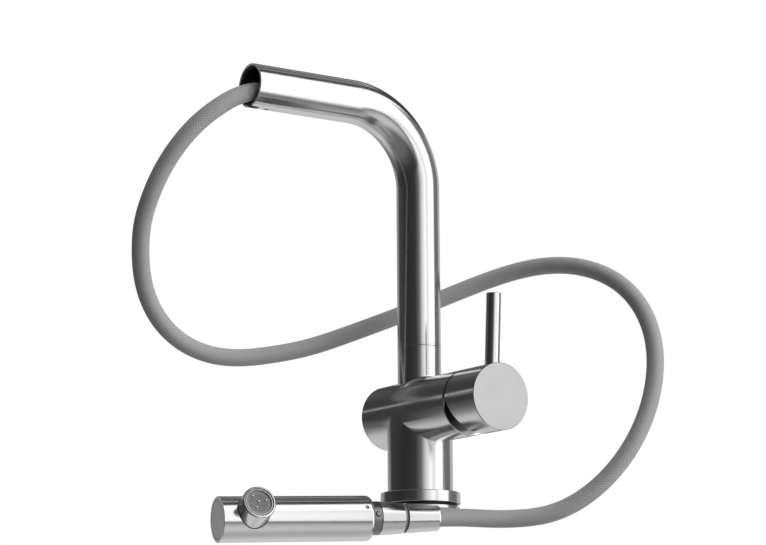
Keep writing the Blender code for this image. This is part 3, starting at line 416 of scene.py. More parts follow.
def brushed(name, base, axis=None, roughness=0.17, contrast=0.15):
    """Steel brushed in fine lines round an axis, or round the path held in the piece's own attribute."""
    made, tree, shader = new_finish(name, 1.0, roughness)
    place = node(tree, "ShaderNodeTexCoord").outputs["Object"]
    line = Vector(axis or (0, 0, 1)).normalized()
    across_x = line.orthogonal().normalized()
    across_y = line.cross(across_x)

    def measure(direction, scale):
        product = node(tree, "ShaderNodeVectorMath", {0: place, 1: direction * scale},
                operation="DOT_PRODUCT")
        return product.outputs["Value"]

    def streaks(along_scale, across_scale, detail, fineness):
        """Noise that is drawn out round the axis."""
        drawn = node(tree, "ShaderNodeCombineXYZ", {
            0: maths(tree, "MULTIPLY", along, along_scale),
            1: measure(across_x, across_scale), 2: measure(across_y, across_scale)})
        return noise(tree, drawn.outputs[0], 1.0, detail, fineness)

    if axis is None:
        path = node(tree, "ShaderNodeAttribute", attribute_name="along").outputs["Fac"]
        along = maths(tree, "MULTIPLY", path, MM)
    else:
        along = measure(line, MM)
    lines = maths(tree, "ADD", maths(tree, "MULTIPLY", streaks(3.1, 60, 4.0, 0.65), 0.65),
            maths(tree, "MULTIPLY", streaks(0.7, 30, 2.0, 0.5), 0.35))
    span = (0.34, 0.66)
    tone(tree, shader, lines, span, shade(base, 1.0 - 0.10 * contrast), shade(base, 1.0 + 0.07 * contrast))
    cloud = spread(tree, noise(tree, place, 38.0, 3.0, 0.55), 0.3, 0.7, -0.025, 0.025)
    rough = spread(tree, lines, *span, roughness - 0.05 * contrast, roughness + 0.07 * contrast)
    tree.links.new(maths(tree, "ADD", rough, cloud), shader.inputs["Roughness"])
    bump(tree, shader, lines, 0.14 * contrast, 0.00005)
    return made


def moulded(name, base, roughness, grain, depth=0.00003):
    """Moulded rubber or plastic with a fine even grain and slight clouding."""
    made, tree, shader = new_finish(name, 0.0, roughness)
    place = node(tree, "ShaderNodeTexCoord").outputs["Object"]
    fine = noise(tree, place, grain, 2.0)
    tone(tree, shader, noise(tree, place, 60.0), (0.3, 0.7), shade(base, 0.85), shade(base, 1.15))
    roughen(tree, shader, fine, roughness - 0.06, roughness + 0.08)
    bump(tree, shader, fine, 0.25, depth)
    return made


def machined(name, base, metallic=1.0, roughness=0.3):
    """Machined brass, copper or ceramic with faint tool marks."""
    made, tree, shader = new_finish(name, metallic, roughness)
    place = node(tree, "ShaderNodeTexCoord").outputs["Object"]
    drawn = node(tree, "ShaderNodeMapping", {"Vector": place, "Scale": (300, 300, 1500)})
    marks = noise(tree, drawn.outputs[0], 1.0)
    tone(tree, shader, noise(tree, place, 90.0, 4.0), (0.35, 0.7), shade(base, 1.05), shade(base, 0.72))
    roughen(tree, shader, marks, roughness - 0.06, roughness + 0.1)
    bump(tree, shader, marks, 0.12, 0.00004)
    return made


def woven(name, cord, gap_shade, strands=24):
    """A braid of two sets of cords that pass over and under each other on the slant, round the hose."""
    made, tree, shader = new_finish(name, 0.0, 0.5)
    shader.inputs["Sheen Weight"].default_value = 0.25
    shader.inputs["Sheen Roughness"].default_value = 0.5
    plane = node(tree, "ShaderNodeSeparateXYZ",
            {0: node(tree, "ShaderNodeUVMap", uv_map="weave").outputs["UV"]})
    slants = [maths(tree, way, plane.outputs[0], plane.outputs[1]) for way in ("ADD", "SUBTRACT")]
    first, second = (maths(tree, "SINE", maths(tree, "MULTIPLY", slant, pi * strands)) for slant in slants)
    over = maths(tree, "GREATER_THAN", maths(tree, "MULTIPLY", first, second), 0.0)
    under = maths(tree, "SUBTRACT", 1.0, over)
    rise, crossing = maths(tree, "ABSOLUTE", first), maths(tree, "ABSOLUTE", second)

    def crown(cords, others, on_top):
        """Height of one set of cords where it lies on top, lower between the cords it crosses."""
        arched = maths(tree, "MULTIPLY", cords, maths(tree, "MULTIPLY_ADD", others, 0.35, 0.65))
        return maths(tree, "MULTIPLY", arched, on_top)

    height = maths(tree, "ADD", crown(rise, crossing, over), crown(crossing, rise, under))
    threads = node(tree, "ShaderNodeCombineXYZ", {
        index: maths(tree, "MULTIPLY", slant, 180.0) for index, slant in enumerate(slants)})
    fibre = noise(tree, threads.outputs[0], 1.0, 2.0)
    cloud = noise(tree, node(tree, "ShaderNodeTexCoord").outputs["Object"], 45.0, 2.0)
    light = maths(tree, "ADD", spread(tree, fibre, 0.3, 0.7, 0.75, 1.05),
            spread(tree, cloud, 0.3, 0.7, -0.05, 0.05))
    # painted shade: the colour follows the weave's height, darkest in the gaps and where a cord dips under the one
    # it crosses
    tone(tree, shader, maths(tree, "MULTIPLY", height, light), (0.15, 0.85), (*gap_shade, 1.0), (*cord, 1.0))
    roughen(tree, shader, fibre, 0.42, 0.62)
    bump(tree, shader, maths(tree, "MULTIPLY_ADD", fibre, 0.12, height), 0.45, 0.0003)
    return made


def finish(kind):
    """The shared finish of this kind, made when it is first asked for."""
    name = "faucet_" + kind
    if name in bpy.data.materials:
        return bpy.data.materials[name]
    colours = bpy.context.scene.faucet_finishes
    makers = {
        "steel_upright": lambda: brushed(name, colours.steel, (0, 0, 1)),
        "steel_cross": lambda: brushed(name, colours.steel, (1, 0, 0)),
        "steel_spout": lambda: brushed(name, colours.steel),
        "steel_lever": lambda: brushed(name, colours.steel, LEVER_AXIS, 0.17),
        "steel_shower": lambda: brushed(name, colours.steel, SHOWER_AXIS, 0.16),
        "steel_nozzle": lambda: brushed(name, colours.steel, NOZZLE.to_3x3().col[2], 0.16),
        # painted shade: the handle face's darker copy of the steel
        "steel_face": lambda: brushed(name, colours.cap, (0, 0.3, 1), 0.36, 0.3),
        "steel_end": lambda: brushed(name, colours.steel, (1, -0.2, 0), 0.30, 0.35),
        # dark finish with painted shade added, for the shower's neck between the collar and the barrel
        "dark_steel": lambda: brushed(name, colours.dark_steel, SHOWER_AXIS, 0.30),
        "rubber": lambda: moulded(name, colours.rubber, 0.62, 700.0),
        "black_plastic": lambda: moulded(name, colours.black, 0.42, 1100.0),
        "grey_plastic": lambda: moulded(name, colours.grey, 0.45, 1100.0),
        "white_plastic": lambda: moulded(name, colours.white, 0.40, 1200.0),
        "brass": lambda: machined(name, colours.brass),
        "copper": lambda: machined(name, colours.copper),
        "ceramic": lambda: machined(name, colours.ceramic, 0.0, 0.15),
        "braid": lambda: woven(name, colours.cord, colours.cord_gap_shade),
        "braid_inside": lambda: moulded(name, colours.cord_gap_shade, 0.55, 1500.0, 0.0001),
        "steel": lambda: brushed(name, colours.steel, (0, 0, 1)),
    }
    return makers[kind]()


# ---------------------------------------------------------------- operators
class FAUCET_OT_base(bpy.types.Operator):
    """Turn the base ring, its gasket and the base flange"""
    bl_idname = "faucet.base"
    bl_label = "Base"

    def execute(self, context):
        sizes = context.scene.faucet_sizes
        column_r = sizes.column_d / 2
        bore = column_r - sizes.body_wall
        for name, cad_node, kind, slot, inner, bottom, edge in (
                ("base_ring_turned", "base_ring", "steel_upright", "steel", bore + GAP, 0, sizes.edge),
                ("base_gasket_moulded", "base_gasket", "rubber", "rubber", bore + 0.001,
                low("base_gasket", 2), 0.0003),
                ("base_flange_turned", "base_flange", "steel_upright", "steel", column_r + GAP,
                low("base_flange", 2), 0.0005)):
            outline = ring(across(cad_node, 0) / 2, inner, bottom, high(cad_node, 2))
            dress(turned(name, outline, closed=True, edge=edge), "mixer", kind, slot, cad_node)
        return {"FINISHED"}


class FAUCET_OT_mixer_body(bpy.types.Operator):
    """Join the column, the cross barrel and the neck, and bore them"""
    bl_idname = "faucet.mixer_body"
    bl_label = "Mixer body"

    def neck(self, sizes, top):
        """The neck, with a flared foot that follows the round of the cross barrel."""
        barrel_r, tube_r, flare = sizes.barrel_d / 2, sizes.tube_d / 2, sizes.neck_fillet
        foot = BARREL_Z + barrel_r
        rim, root, sunk = 0.0003, 0.0012, 0.0032
        steps, drop = 8, 0.00006
        outline = [(tube_r - rim, top), (tube_r, top - rim)]
        for i in range(steps + 1):
            a = pi / 2 * i / steps
            outline.append((tube_r + flare * (1 - cos(a)), foot + flare - flare * sin(a) - drop * i / steps))
        outline.append((tube_r + flare - root, foot - sunk))
        neck = turned("neck_solid", outline)
        for corner in neck.data.vertices:
            if corner.co.z < foot + flare + rim:
                corner.co.z += sqrt(barrel_r ** 2 - min(corner.co.y ** 2, barrel_r ** 2)) - barrel_r
        return neck

    def execute(self, context):
        sizes = context.scene.faucet_sizes
        start, end, top = low("mixer_body", 0), high("mixer_body", 0), high("mixer_body", 2)
        column_r, barrel_r, tube_r = sizes.column_d / 2, sizes.barrel_d / 2, sizes.tube_d / 2
        bore_r, spigot_r = barrel_r - sizes.body_wall, across("swivel_spigot", 0) / 2
        rim, bore_sides = sizes.edge, 96
        # inside the barrel: the top of the column, the top of its bore, and the foot of the neck's bore
        column_top, bore_top, neck_bore_foot = BARREL_Z - 0.0006, BARREL_Z - 0.004, BARREL_Z + 0.008
        body = turned("mixer_body_brushed", solid(column_r, low("mixer_body", 2), column_top))
        barrel = turned("barrel_solid", [(barrel_r - rim, end), (barrel_r, end - rim),
                (barrel_r, start + rim), (barrel_r - rim, start)], BARREL)
        combine(body, barrel, "UNION")
        combine(body, self.neck(sizes, top), "UNION")
        cut(body,
            turned("column_bore", solid(column_r - sizes.body_wall, -OVER, bore_top), sides=bore_sides),
            turned("neck_bore", solid(spigot_r + GAP, neck_bore_foot, top + OVER), sides=bore_sides),
            turned("barrel_bore", solid(bore_r, start - OVER, end + OVER), BARREL, sides=bore_sides))
        dress(body, "mixer", "steel_upright", "steel", "mixer_body", angle=32)
        body.data.materials.append(finish("steel_cross"))
        barrel_core = 0.014  # this near to the barrel's axis, the faces over the column are brushed with it
        for face in body.data.polygons:
            beside, off_axis = abs(face.center.x), abs(face.center.z - BARREL_Z)
            if off_axis < barrel_r and (beside > column_r or off_axis < barrel_core):
                face.material_index = 1
        cap = turned("barrel_rear_cap_turned", solid(bore_r - GAP, start, high("barrel_rear_cap", 0)), BARREL,
                edge=rim)
        dress(cap, "mixer", "steel_end", "steel", "barrel_rear_cap")
        seam, sunk = 0.00008, 0.00004
        bottom, top = low("swivel_washer", 2) - GAP + seam, high("swivel_washer", 2) + GAP - seam
        washer = turned("swivel_washer_turned", ring(tube_r - sunk, spigot_r + GAP, bottom, top),
                closed=True, edge=0.00012)
        dress(washer, "mixer", "steel_upright", "steel", "swivel_washer")
        return {"FINISHED"}


class FAUCET_OT_handle(bpy.types.Operator):
    """Turn the handle shell, cut its tilt relief, and set the lever pin and grub screw"""
    bl_idname = "faucet.handle"
    bl_label = "Handle"

    def execute(self, context):
        sizes = context.scene.faucet_sizes
        back, front = low("handle_shell", 0), high("handle_shell", 0)
        outer, lever_r, rim = across("handle_shell", 1) / 2, sizes.lever_d / 2, sizes.edge
        cavity, floor = outer - sizes.handle_wall, back + HANDLE_DEPTH
        shell = turned("handle_shell_brushed", [(cavity, floor), (cavity, back), (outer, back),
                (outer, front - rim), (outer - rim, front)], BARREL)
        hinge = Matrix.Translation((back, 0, BARREL_Z + RELIEF_RISE)) @ Matrix.Rotation(-RELIEF_ANGLE, 4, "Y")
        room = 0.030  # more than the handle's radius
        screw_x = floor - GAP - 0.0040
        cut(shell,
            block("tilt_relief", (-room, -room, -2 * room), (0, room, 0), hinge),
            rod("lever_seat", LEVER_FROM + LEVER_AXIS * LEVER_SEAT, LEVER_FROM + LEVER_AXIS * room,
                lever_r + GAP, 64),
            rod("lever_thread", LEVER_FROM + LEVER_AXIS * (STEM_FROM - STEM_CLEAR),
                LEVER_FROM + LEVER_AXIS * (LEVER_SEAT + OVER), STEM_R + GAP),
            rod("screw_hole", (screw_x, cavity - OVER, BARREL_Z), (screw_x, room, BARREL_Z), SCREW_HOLE_R))
        soften(shell, 0.00025, 2, 40)
        dress(shell, "handle", "steel_cross", "steel", "handle_shell")
        # the front face takes the darker copy of the steel, which is painted shade
        shell.data.materials.append(finish("steel_face"))
        for face in shell.data.polygons:
            if face.center.x > front - rim / 4:
                face.material_index = 1
        tip = (high("lever_pin", 2) - BARREL_Z) / cos(LEVER_LEAN) - lever_r * tan(LEVER_LEAN)
        turn = LEVER_AXIS.to_track_quat("Z", "Y").to_matrix().to_4x4()
        foot = LEVER_SEAT + GAP
        outline = [(STEM_R, STEM_FROM), (STEM_R, foot), (lever_r, foot)]
        outline += rounded([(lever_r, foot), (lever_r, tip), (0.0, tip)], 0.0006, 4)
        lever = turned("lever_pin_brushed", outline, Matrix.Translation(LEVER_FROM) @ turn, sides=96)
        dress(lever, "handle", "steel_lever", "steel", "lever_pin")
        socket_screw("grub_screw_turned", "handle", "handle_grub_screw", screw_x, BARREL_Z, 0.0020, 0.0010,
                outer - 0.0040, outer)
        return {"FINISHED"}


class FAUCET_OT_spout(bpy.types.Operator):
    """Draw the spout tube up, round its bend and out to its mouth"""
    bl_idname = "faucet.spout"
    bl_label = "Spout"

    def tube(self, sizes, bottom, bend_foot, reach):
        """The tube's wall, from its foot on the neck to its mouth."""
        def extend(way, count):
            step = tuple(Vector(way) / count)
            for _ in range(count):
                bpy.ops.mesh.extrude_region_move(TRANSFORM_OT_translate={"value": step})

        start_piece()
        bpy.ops.mesh.primitive_circle_add(vertices=sizes.sides, radius=sizes.tube_d / 2)
        tube = bpy.context.object
        tube.name = tube.data.name = "spout_tube_brushed"
        bpy.ops.object.mode_set(mode="EDIT")
        bpy.ops.mesh.select_all(action="SELECT")
        bpy.ops.transform.translate(value=(0, 0, bottom))
        extend((0, 0, bend_foot - bottom), 6)
        bpy.ops.mesh.spin(steps=48, angle=-pi / 2, center=(0, -sizes.bend_r, bend_foot), axis=(1, 0, 0))
        extend((0, sizes.bend_r - reach, 0), 4)
        bpy.ops.mesh.select_all(action="SELECT")
        bpy.ops.mesh.remove_doubles(threshold=0.000005)
        bpy.ops.mesh.normals_make_consistent(inside=False)
        bpy.ops.object.mode_set(mode="OBJECT")
        first = tube.data.polygons[0]
        if first.normal.x * first.center.x + first.normal.y * first.center.y < 0:
            tube.data.flip_normals()
        apply_modifier(tube, "SOLIDIFY", thickness=sizes.tube_wall, offset=-1.0, use_even_offset=True,
                use_rim=True)
        return tube

    def execute(self, context):
        sizes = context.scene.faucet_sizes
        radius, wall, bend = sizes.tube_d / 2, sizes.tube_wall, sizes.bend_r
        reach, arm = -low("spout_tube", 1), high("spout_tube", 2) - radius
        bend_foot = arm - bend
        tube = self.tube(sizes, low("spout_tube", 2), bend_foot, reach)
        under, inside = arm - radius - OVER, arm - radius + wall + 0.0015
        slot_r, slot_l = 0.0022, 0.0062
        slot_end = reach - slot_l + slot_r
        bush_screw_y, bush_screw_r = 0.0118 - reach, 0.0015
        groove = (low("spout_retaining_screw", 2) + high("spout_retaining_screw", 2)) / 2
        cut(tube,
            block("key_slot", (-slot_r, -reach - OVER, under), (slot_r, -slot_end, inside)),
            rod("key_slot_end", (0, -slot_end, under), (0, -slot_end, inside), slot_r, 48),
            rod("bush_screw_hole", (0, bush_screw_y, under), (0, bush_screw_y, inside), bush_screw_r),
            rod("retainer_hole", (0, radius - wall - OVER, groove), (0, radius + OVER, groove), SCREW_HOLE_R))
        soften(tube, 0.0003, 3, 45)

        def travelled(point):
            """How far a point lies along the spout, for the brushing to follow."""
            if point.z < bend_foot:
                return point.z
            if point.y < -bend:
                return bend_foot + bend * pi / 2 - bend - point.y
            return bend_foot + bend * atan2(point.z - bend_foot, point.y + bend)

        way = tube.data.attributes.new("along", "FLOAT", "POINT")
        way.data.foreach_set("value", [travelled(corner.co) for corner in tube.data.vertices])
        dress(tube, "spout", "steel_spout", "steel", "spout_tube")

        bush_r, bush_wall = radius - wall - GAP, 0.0010
        outline = ring(bush_r, bush_r - bush_wall, -high("docking_bush", 1), -low("docking_bush", 1))
        bush = turned("docking_bush_moulded", outline, Matrix.Translation((0, 0, arm)) @ ALONG_BACK_Y,
                closed=True, edge=0.0003)
        cut(bush, rod("bush_seat", (0, bush_screw_y, under), (0, bush_screw_y, inside + OVER), bush_screw_r))
        dress(bush, "spout", "black_plastic", "black_plastic", "docking_bush")
        socket_screw("spout_retaining_screw_turned", "spout", "spout_retaining_screw", 0, groove, 0.0018,
                0.0009, radius - 0.0022, radius)
        return {"FINISHED"}


def smooth_line(points, spacing):
    """Points at an even spacing on a natural cubic spline through the given points."""
    knots = np.array(points, float)
    steps = np.linalg.norm(np.diff(knots, axis=0), axis=1)
    place = np.concatenate([[0.0], np.cumsum(steps)])
    count = len(knots)
    system = np.zeros((count, count))
    right = np.zeros((count, 3))
    system[0, 0] = system[-1, -1] = 1.0
    for i in range(1, count - 1):
        before, after = steps[i - 1], steps[i]
        system[i, i - 1:i + 2] = before, 2 * (before + after), after
        right[i] = 6 * ((knots[i + 1] - knots[i]) / after - (knots[i] - knots[i - 1]) / before)
    bend = np.linalg.solve(system, right)
    result = []
    for s in np.linspace(0, place[-1], int(round(place[-1] / spacing)) + 1):
        i = min(np.searchsorted(place, s, side="right") - 1, count - 2)
        a, b, h = place[i + 1] - s, s - place[i], steps[i]
        result.append((bend[i] * a ** 3 + bend[i + 1] * b ** 3) / (6 * h)
                + (knots[i] / h - bend[i] * h / 6) * a + (knots[i + 1] / h - bend[i + 1] * h / 6) * b)
    return result


class FAUCET_OT_hose(bpy.types.Operator):
    """Lay the woven hose along its route, from the spout's mouth to the cone"""
    bl_idname = "faucet.hose"
    bl_label = "Pull-out hose"

    def execute(self, context):
        sizes = context.scene.faucet_sizes
        spacing, into_cone, sides = 0.0012, 0.0016, 48
        centre = np.array([*smooth_line(HOSE_ROUTE, spacing), np.array(SHOWER_AT + SHOWER_AXIS * into_cone)])
        radius, last = sizes.hose_d / 2, len(centre) - 1
        heading = np.gradient(centre, axis=0)
        heading /= np.linalg.norm(heading, axis=1)[:, None]
        side = np.cross(heading[0], (1.0, 0.0, 0.0))
        travelled = np.concatenate([[0.0], np.cumsum(np.linalg.norm(np.diff(centre, axis=0), axis=1))])
        corners = []
        for point, way in zip(centre, heading):
            side = side - way * (side @ way)
            side /= np.linalg.norm(side)
            other = np.cross(way, side)
            for j in range(sides):
                a = 2 * pi * j / sides
                corners.append(tuple(point + radius * (side * cos(a) + other * sin(a))))
        faces = []
        for i in range(last):
            for j in range(sides):
                k = (j + 1) % sides
                faces.append((i * sides + j, i * sides + k, (i + 1) * sides + k, (i + 1) * sides + j))
        faces.append(tuple(range(sides - 1, -1, -1)))
        faces.append(tuple(last * sides + j for j in range(sides)))
        data = bpy.data.meshes.new("pull_out_hose_woven")
        data.from_pydata(corners, [], faces)
        weave = data.uv_layers.new(name="weave")
        girth = 2 * pi * radius
        for face in data.polygons:
            for loop in face.loop_indices:
                i, j = divmod(data.loops[loop].vertex_index, sides)
                if len(face.vertices) == 4 and j == 0 and face.index % sides == sides - 1:
                    j = sides
                weave.data[loop].uv = (j / sides, travelled[i] / girth)
        hose = bpy.data.objects.new("pull_out_hose_woven", data)
        context.scene.collection.objects.link(hose)
        pick(hose)
        bpy.ops.object.shade_smooth_by_angle(angle=radians(40))
        dress(hose, "spout", "braid", "braid", "pull_out_hose", angle=None)
        return {"FINISHED"}


class FAUCET_OT_connector(bpy.types.Operator):
    """Turn the hose cone, the swivel seal, the collar and the neck with its key"""
    bl_idname = "faucet.connector"
    bl_label = "Hose connector"

    def cone(self, sizes):
        """The cone on the end of the hose, with a rounded tip and a stepped bore."""
        mouth, socket, rim = sizes.hose_d / 2 + HOSE_SLIP, 0.0030, 0.0003
        swivel_r, swivel_from, passage_r = SWIVEL_BORE_R + HOSE_SLIP, 0.0140, 0.0042
        outline = [(mouth, socket), (mouth, rim), (mouth + rim, 0.0)]
        outline += [(CONE_TIP_R - CONE_LIP * (1 - sin(a)), CONE_LIP * (1 - cos(a)))
                for a in (pi / 2 * i / 8 for i in range(9))]
        outline += [(CONE_ROOT_R, CONE_L - rim), (CONE_ROOT_R - rim, CONE_L), (swivel_r, CONE_L),
                (swivel_r, swivel_from), (passage_r, swivel_from), (passage_r, socket)]
        return turned("hose_cone_brushed", outline, SHOWER, closed=True)

    def execute(self, context):
        sizes = context.scene.faucet_sizes
        dress(self.cone(sizes), "spout", "steel_shower", "steel", "hose_cone", angle=25)
        seal = turned("swivel_seal_moulded", ring(CONE_ROOT_R - 0.0008, SWIVEL_BORE_R, CONE_L + GAP,
                COLLAR_FROM - GAP), SHOWER, closed=True, edge=0.0003)
        dress(seal, "shower", "grey_plastic", "grey_plastic", "swivel_seal")
        collar = turned("shower_collar_brushed", [(COLLAR_TO_R, COLLAR_TO), (COLLAR_FROM_R, COLLAR_FROM),
                (SWIVEL_BORE_R, COLLAR_FROM), (SWIVEL_BORE_R, COLLAR_TO)], SHOWER, closed=True, edge=0.0003)
        dress(collar, "shower", "steel_shower", "steel", "shower_collar")
        inner_r = sizes.shower_d / 2 - SHOWER_WALL - GAP
        foot, step, end = COLLAR_TO + GAP, BARREL_FROM + SHOWER_WALL + GAP, BARREL_FROM + NECK_DEPTH
        neck = turned("shower_neck_turned", [(inner_r, end), (inner_r, step), (NECK_R, step), (NECK_R, foot),
                (NECK_BORE_R, foot), (NECK_BORE_R, end)], SHOWER, closed=True, edge=0.0002)
        way = Vector((cos(KEY_TURN), sin(KEY_TURN), 0))
        seat = way * (NECK_R - KEY_SUNK) + Vector((0, 0, (foot + BARREL_FROM) / 2))
        cut(neck, rod("key_hole", SHOWER @ seat, SHOWER @ (seat + way * 2 * KEY_L), KEY_R + GAP, 48))
        # the neck takes the dark steel, which holds painted shade from the collar and barrel beside it
        dress(neck, "shower", "dark_steel", "dark_steel", "shower_neck")
        key = rod("locating_key_turned", SHOWER @ (seat + way * GAP), SHOWER @ (seat + way * KEY_L), KEY_R,
                48)
        soften(key, 0.0003, 3, 40)
        dress(key, "shower", "dark_steel", "dark_steel", "locating_key")
        return {"FINISHED"}


class FAUCET_OT_hand_shower(bpy.types.Operator):
    """Turn the hand shower's barrel and its end cap, and cut the nozzle's seat"""
    bl_idname = "faucet.hand_shower"
    bl_label = "Hand shower"

    def execute(self, context):
        sizes = context.scene.faucet_sizes
        radius, rim, cap_l = sizes.shower_d / 2, 0.0003, 0.0030
        bore, lip, inside = radius - SHOWER_WALL, NECK_R + GAP, BARREL_FROM + SHOWER_WALL
        shoulder = rounded([(radius, BARREL_TO), (radius, BARREL_FROM), (0.0, BARREL_FROM)], SHOULDER_R, 10)
        outline = [(radius - rim, BARREL_TO), (radius, BARREL_TO - rim), *shoulder, (lip, BARREL_FROM),
                (lip, inside), (bore, inside), (bore, BARREL_TO)]
        barrel = turned("shower_barrel_brushed", outline, SHOWER, closed=True)
        way = Vector((cos(BARREL_SCREW_TURN), sin(BARREL_SCREW_TURN), 0))
        screw_at = way * (bore + GAP * 2) + Vector((0, 0, BARREL_FROM + BARREL_SCREW_AT))
        cut(barrel,
            rod("nozzle_seat", NOZZLE.translation, NOZZLE @ Vector((0, 0, radius + 2 * OVER)),
                sizes.nozzle_d / 2 + GAP, 96),
            rod("screw_seat", SHOWER @ (screw_at - way * 2 * OVER), SHOWER @ (screw_at + way * 4 * OVER),
                BARREL_SCREW_R + GAP))
        dress(barrel, "shower", "steel_shower", "steel", "shower_barrel")
        screw = rod("barrel_screw_turned", SHOWER @ (screw_at - way * 0.0001),
                SHOWER @ (screw_at + way * 0.0008), BARREL_SCREW_R)
        soften(screw, 0.0002, 2, 40)
        dress(screw, "shower", "dark_steel", "dark_steel", "barrel_locating_screw")
        cap = turned("shower_end_cap_turned", solid(bore - GAP, BARREL_TO - cap_l, BARREL_TO), SHOWER,
                edge=0.0002)
        dress(cap, "shower", "steel_end", "dark_steel", "shower_end_cap")
        return {"FINISHED"}


class FAUCET_OT_nozzle(bpy.types.Operator):
    """Turn the nozzle, and fit the aerator and its screen"""
    bl_idname = "faucet.nozzle"
    bl_label = "Nozzle and aerator"

    def small_studs(self, screen_r, plate):
        """A close pattern of short studs over the screen."""
        pitch, stud_r, margin, rise, sunk = 0.00095, 0.0003, 0.0014, 0.0003, 0.0004
        rows = int(screen_r / pitch) + 1
        studs = []
        for row in range(-rows, rows + 1):
            for column in range(-rows, rows + 1):
                x = (column + 0.5 * (row % 2)) * pitch
                y = row * pitch * sqrt(3) / 2
                if x * x + y * y < (screen_r - margin) ** 2:
                    studs.append(rod("stud", NOZZLE @ Vector((x, y, plate - sunk)),
                            NOZZLE @ Vector((x, y, plate + rise)), stud_r, 8))
        return studs

    def large_studs(self, plate):
        """Four polished studs that stand above the rest."""
        stud_r, length, sunk = 0.0006, 0.0011, 0.0002
        studs = []
        for aside, outwards in ((4.34, 3.3), (1.51, -4.49), (0.81, 0.22), (-3.07, 1.92)):
            start = SHOWER @ Vector((plate - sunk, aside / MM, NOZZLE_AT + outwards / MM))
            stud = rod("screen_stud", start, start + NOZZLE.to_3x3() @ Vector((0, 0, length)), stud_r, 24)
            soften(stud, 0.0003, 3, 40)
            studs.append(stud)
        return studs

    def execute(self, context):
        radius, top = context.scene.faucet_sizes.nozzle_d / 2, NOZZLE_H
        bore, root = radius - NOZZLE_WALL, 0.0045 + GAP
        inlet_r, step, rim_r = 0.0060, root + 0.0015, 0.0012
        outline = [(inlet_r, root), (radius, root)]
        outline += rounded([(radius, root), (radius, top), (0.0, top)], rim_r, 6)
        outline += [(bore, top - 0.0001), (bore, step), (inlet_r, step)]
        nozzle = turned("nozzle_brushed", outline, NOZZLE, closed=True)
        dress(nozzle, "shower", "steel_nozzle", "steel", "nozzle_barrel", angle=25)

        outer, face, back, floor = bore - GAP / 2, top - 0.0005, top - 0.0090, top - 0.0033
        inner, lip = outer - 0.0020, 0.0083
        housing = turned("aerator_housing_moulded",
                [(outer, face), (outer, back), (inner, back), (inner, floor),
                (lip, floor), (lip, face)], NOZZLE, closed=True, edge=0.0002)
        dress(housing, "shower", "grey_plastic", "grey_plastic", "aerator_housing")
        band = turned("aerator_ring", ring(lip - 0.00005, lip - 0.0004, floor + 0.0002, top - 0.0003), NOZZLE,
                closed=True, edge=0.0001)
        dress(band, "shower", "steel_nozzle", "steel")

        screen_r, plate, rise = 0.0076, top - 0.0012, 0.0003
        screen = turned("aerator_screen_moulded", [(screen_r, floor + GAP), (screen_r, plate + rise),
                (screen_r - rise, plate + rise), (screen_r - 0.0005, plate)], NOZZLE, edge=0.0001)
        join([screen, *self.small_studs(screen_r, plate)])
        dress(screen, "shower", "grey_plastic", "grey_plastic", "aerator_screen")
        studs = join(self.large_studs(plate))
        studs.name = studs.data.name = "aerator_studs"
        dress(studs, "shower", "steel_nozzle", "steel")
        return {"FINISHED"}


class FAUCET_OT_inner_pieces(bpy.types.Operator):
    """Give every carried-over piece its finish"""
    bl_idname = "faucet.inner_pieces"
    bl_label = "Inner pieces"

    def execute(self, context):
        slots = {entry["node"]: entry["material_slot"] for entry in frame["record"]["subparts"]}
        for name, item in frame["nodes"].items():
            kind = slots[name]
            if kind == "braid":
                kind = "braid_inside"
            elif name == "handle_hub":
                kind = "dark_steel"
            item.data.materials.clear()
            item.data.materials.append(finish(kind))
        return {"FINISHED"}


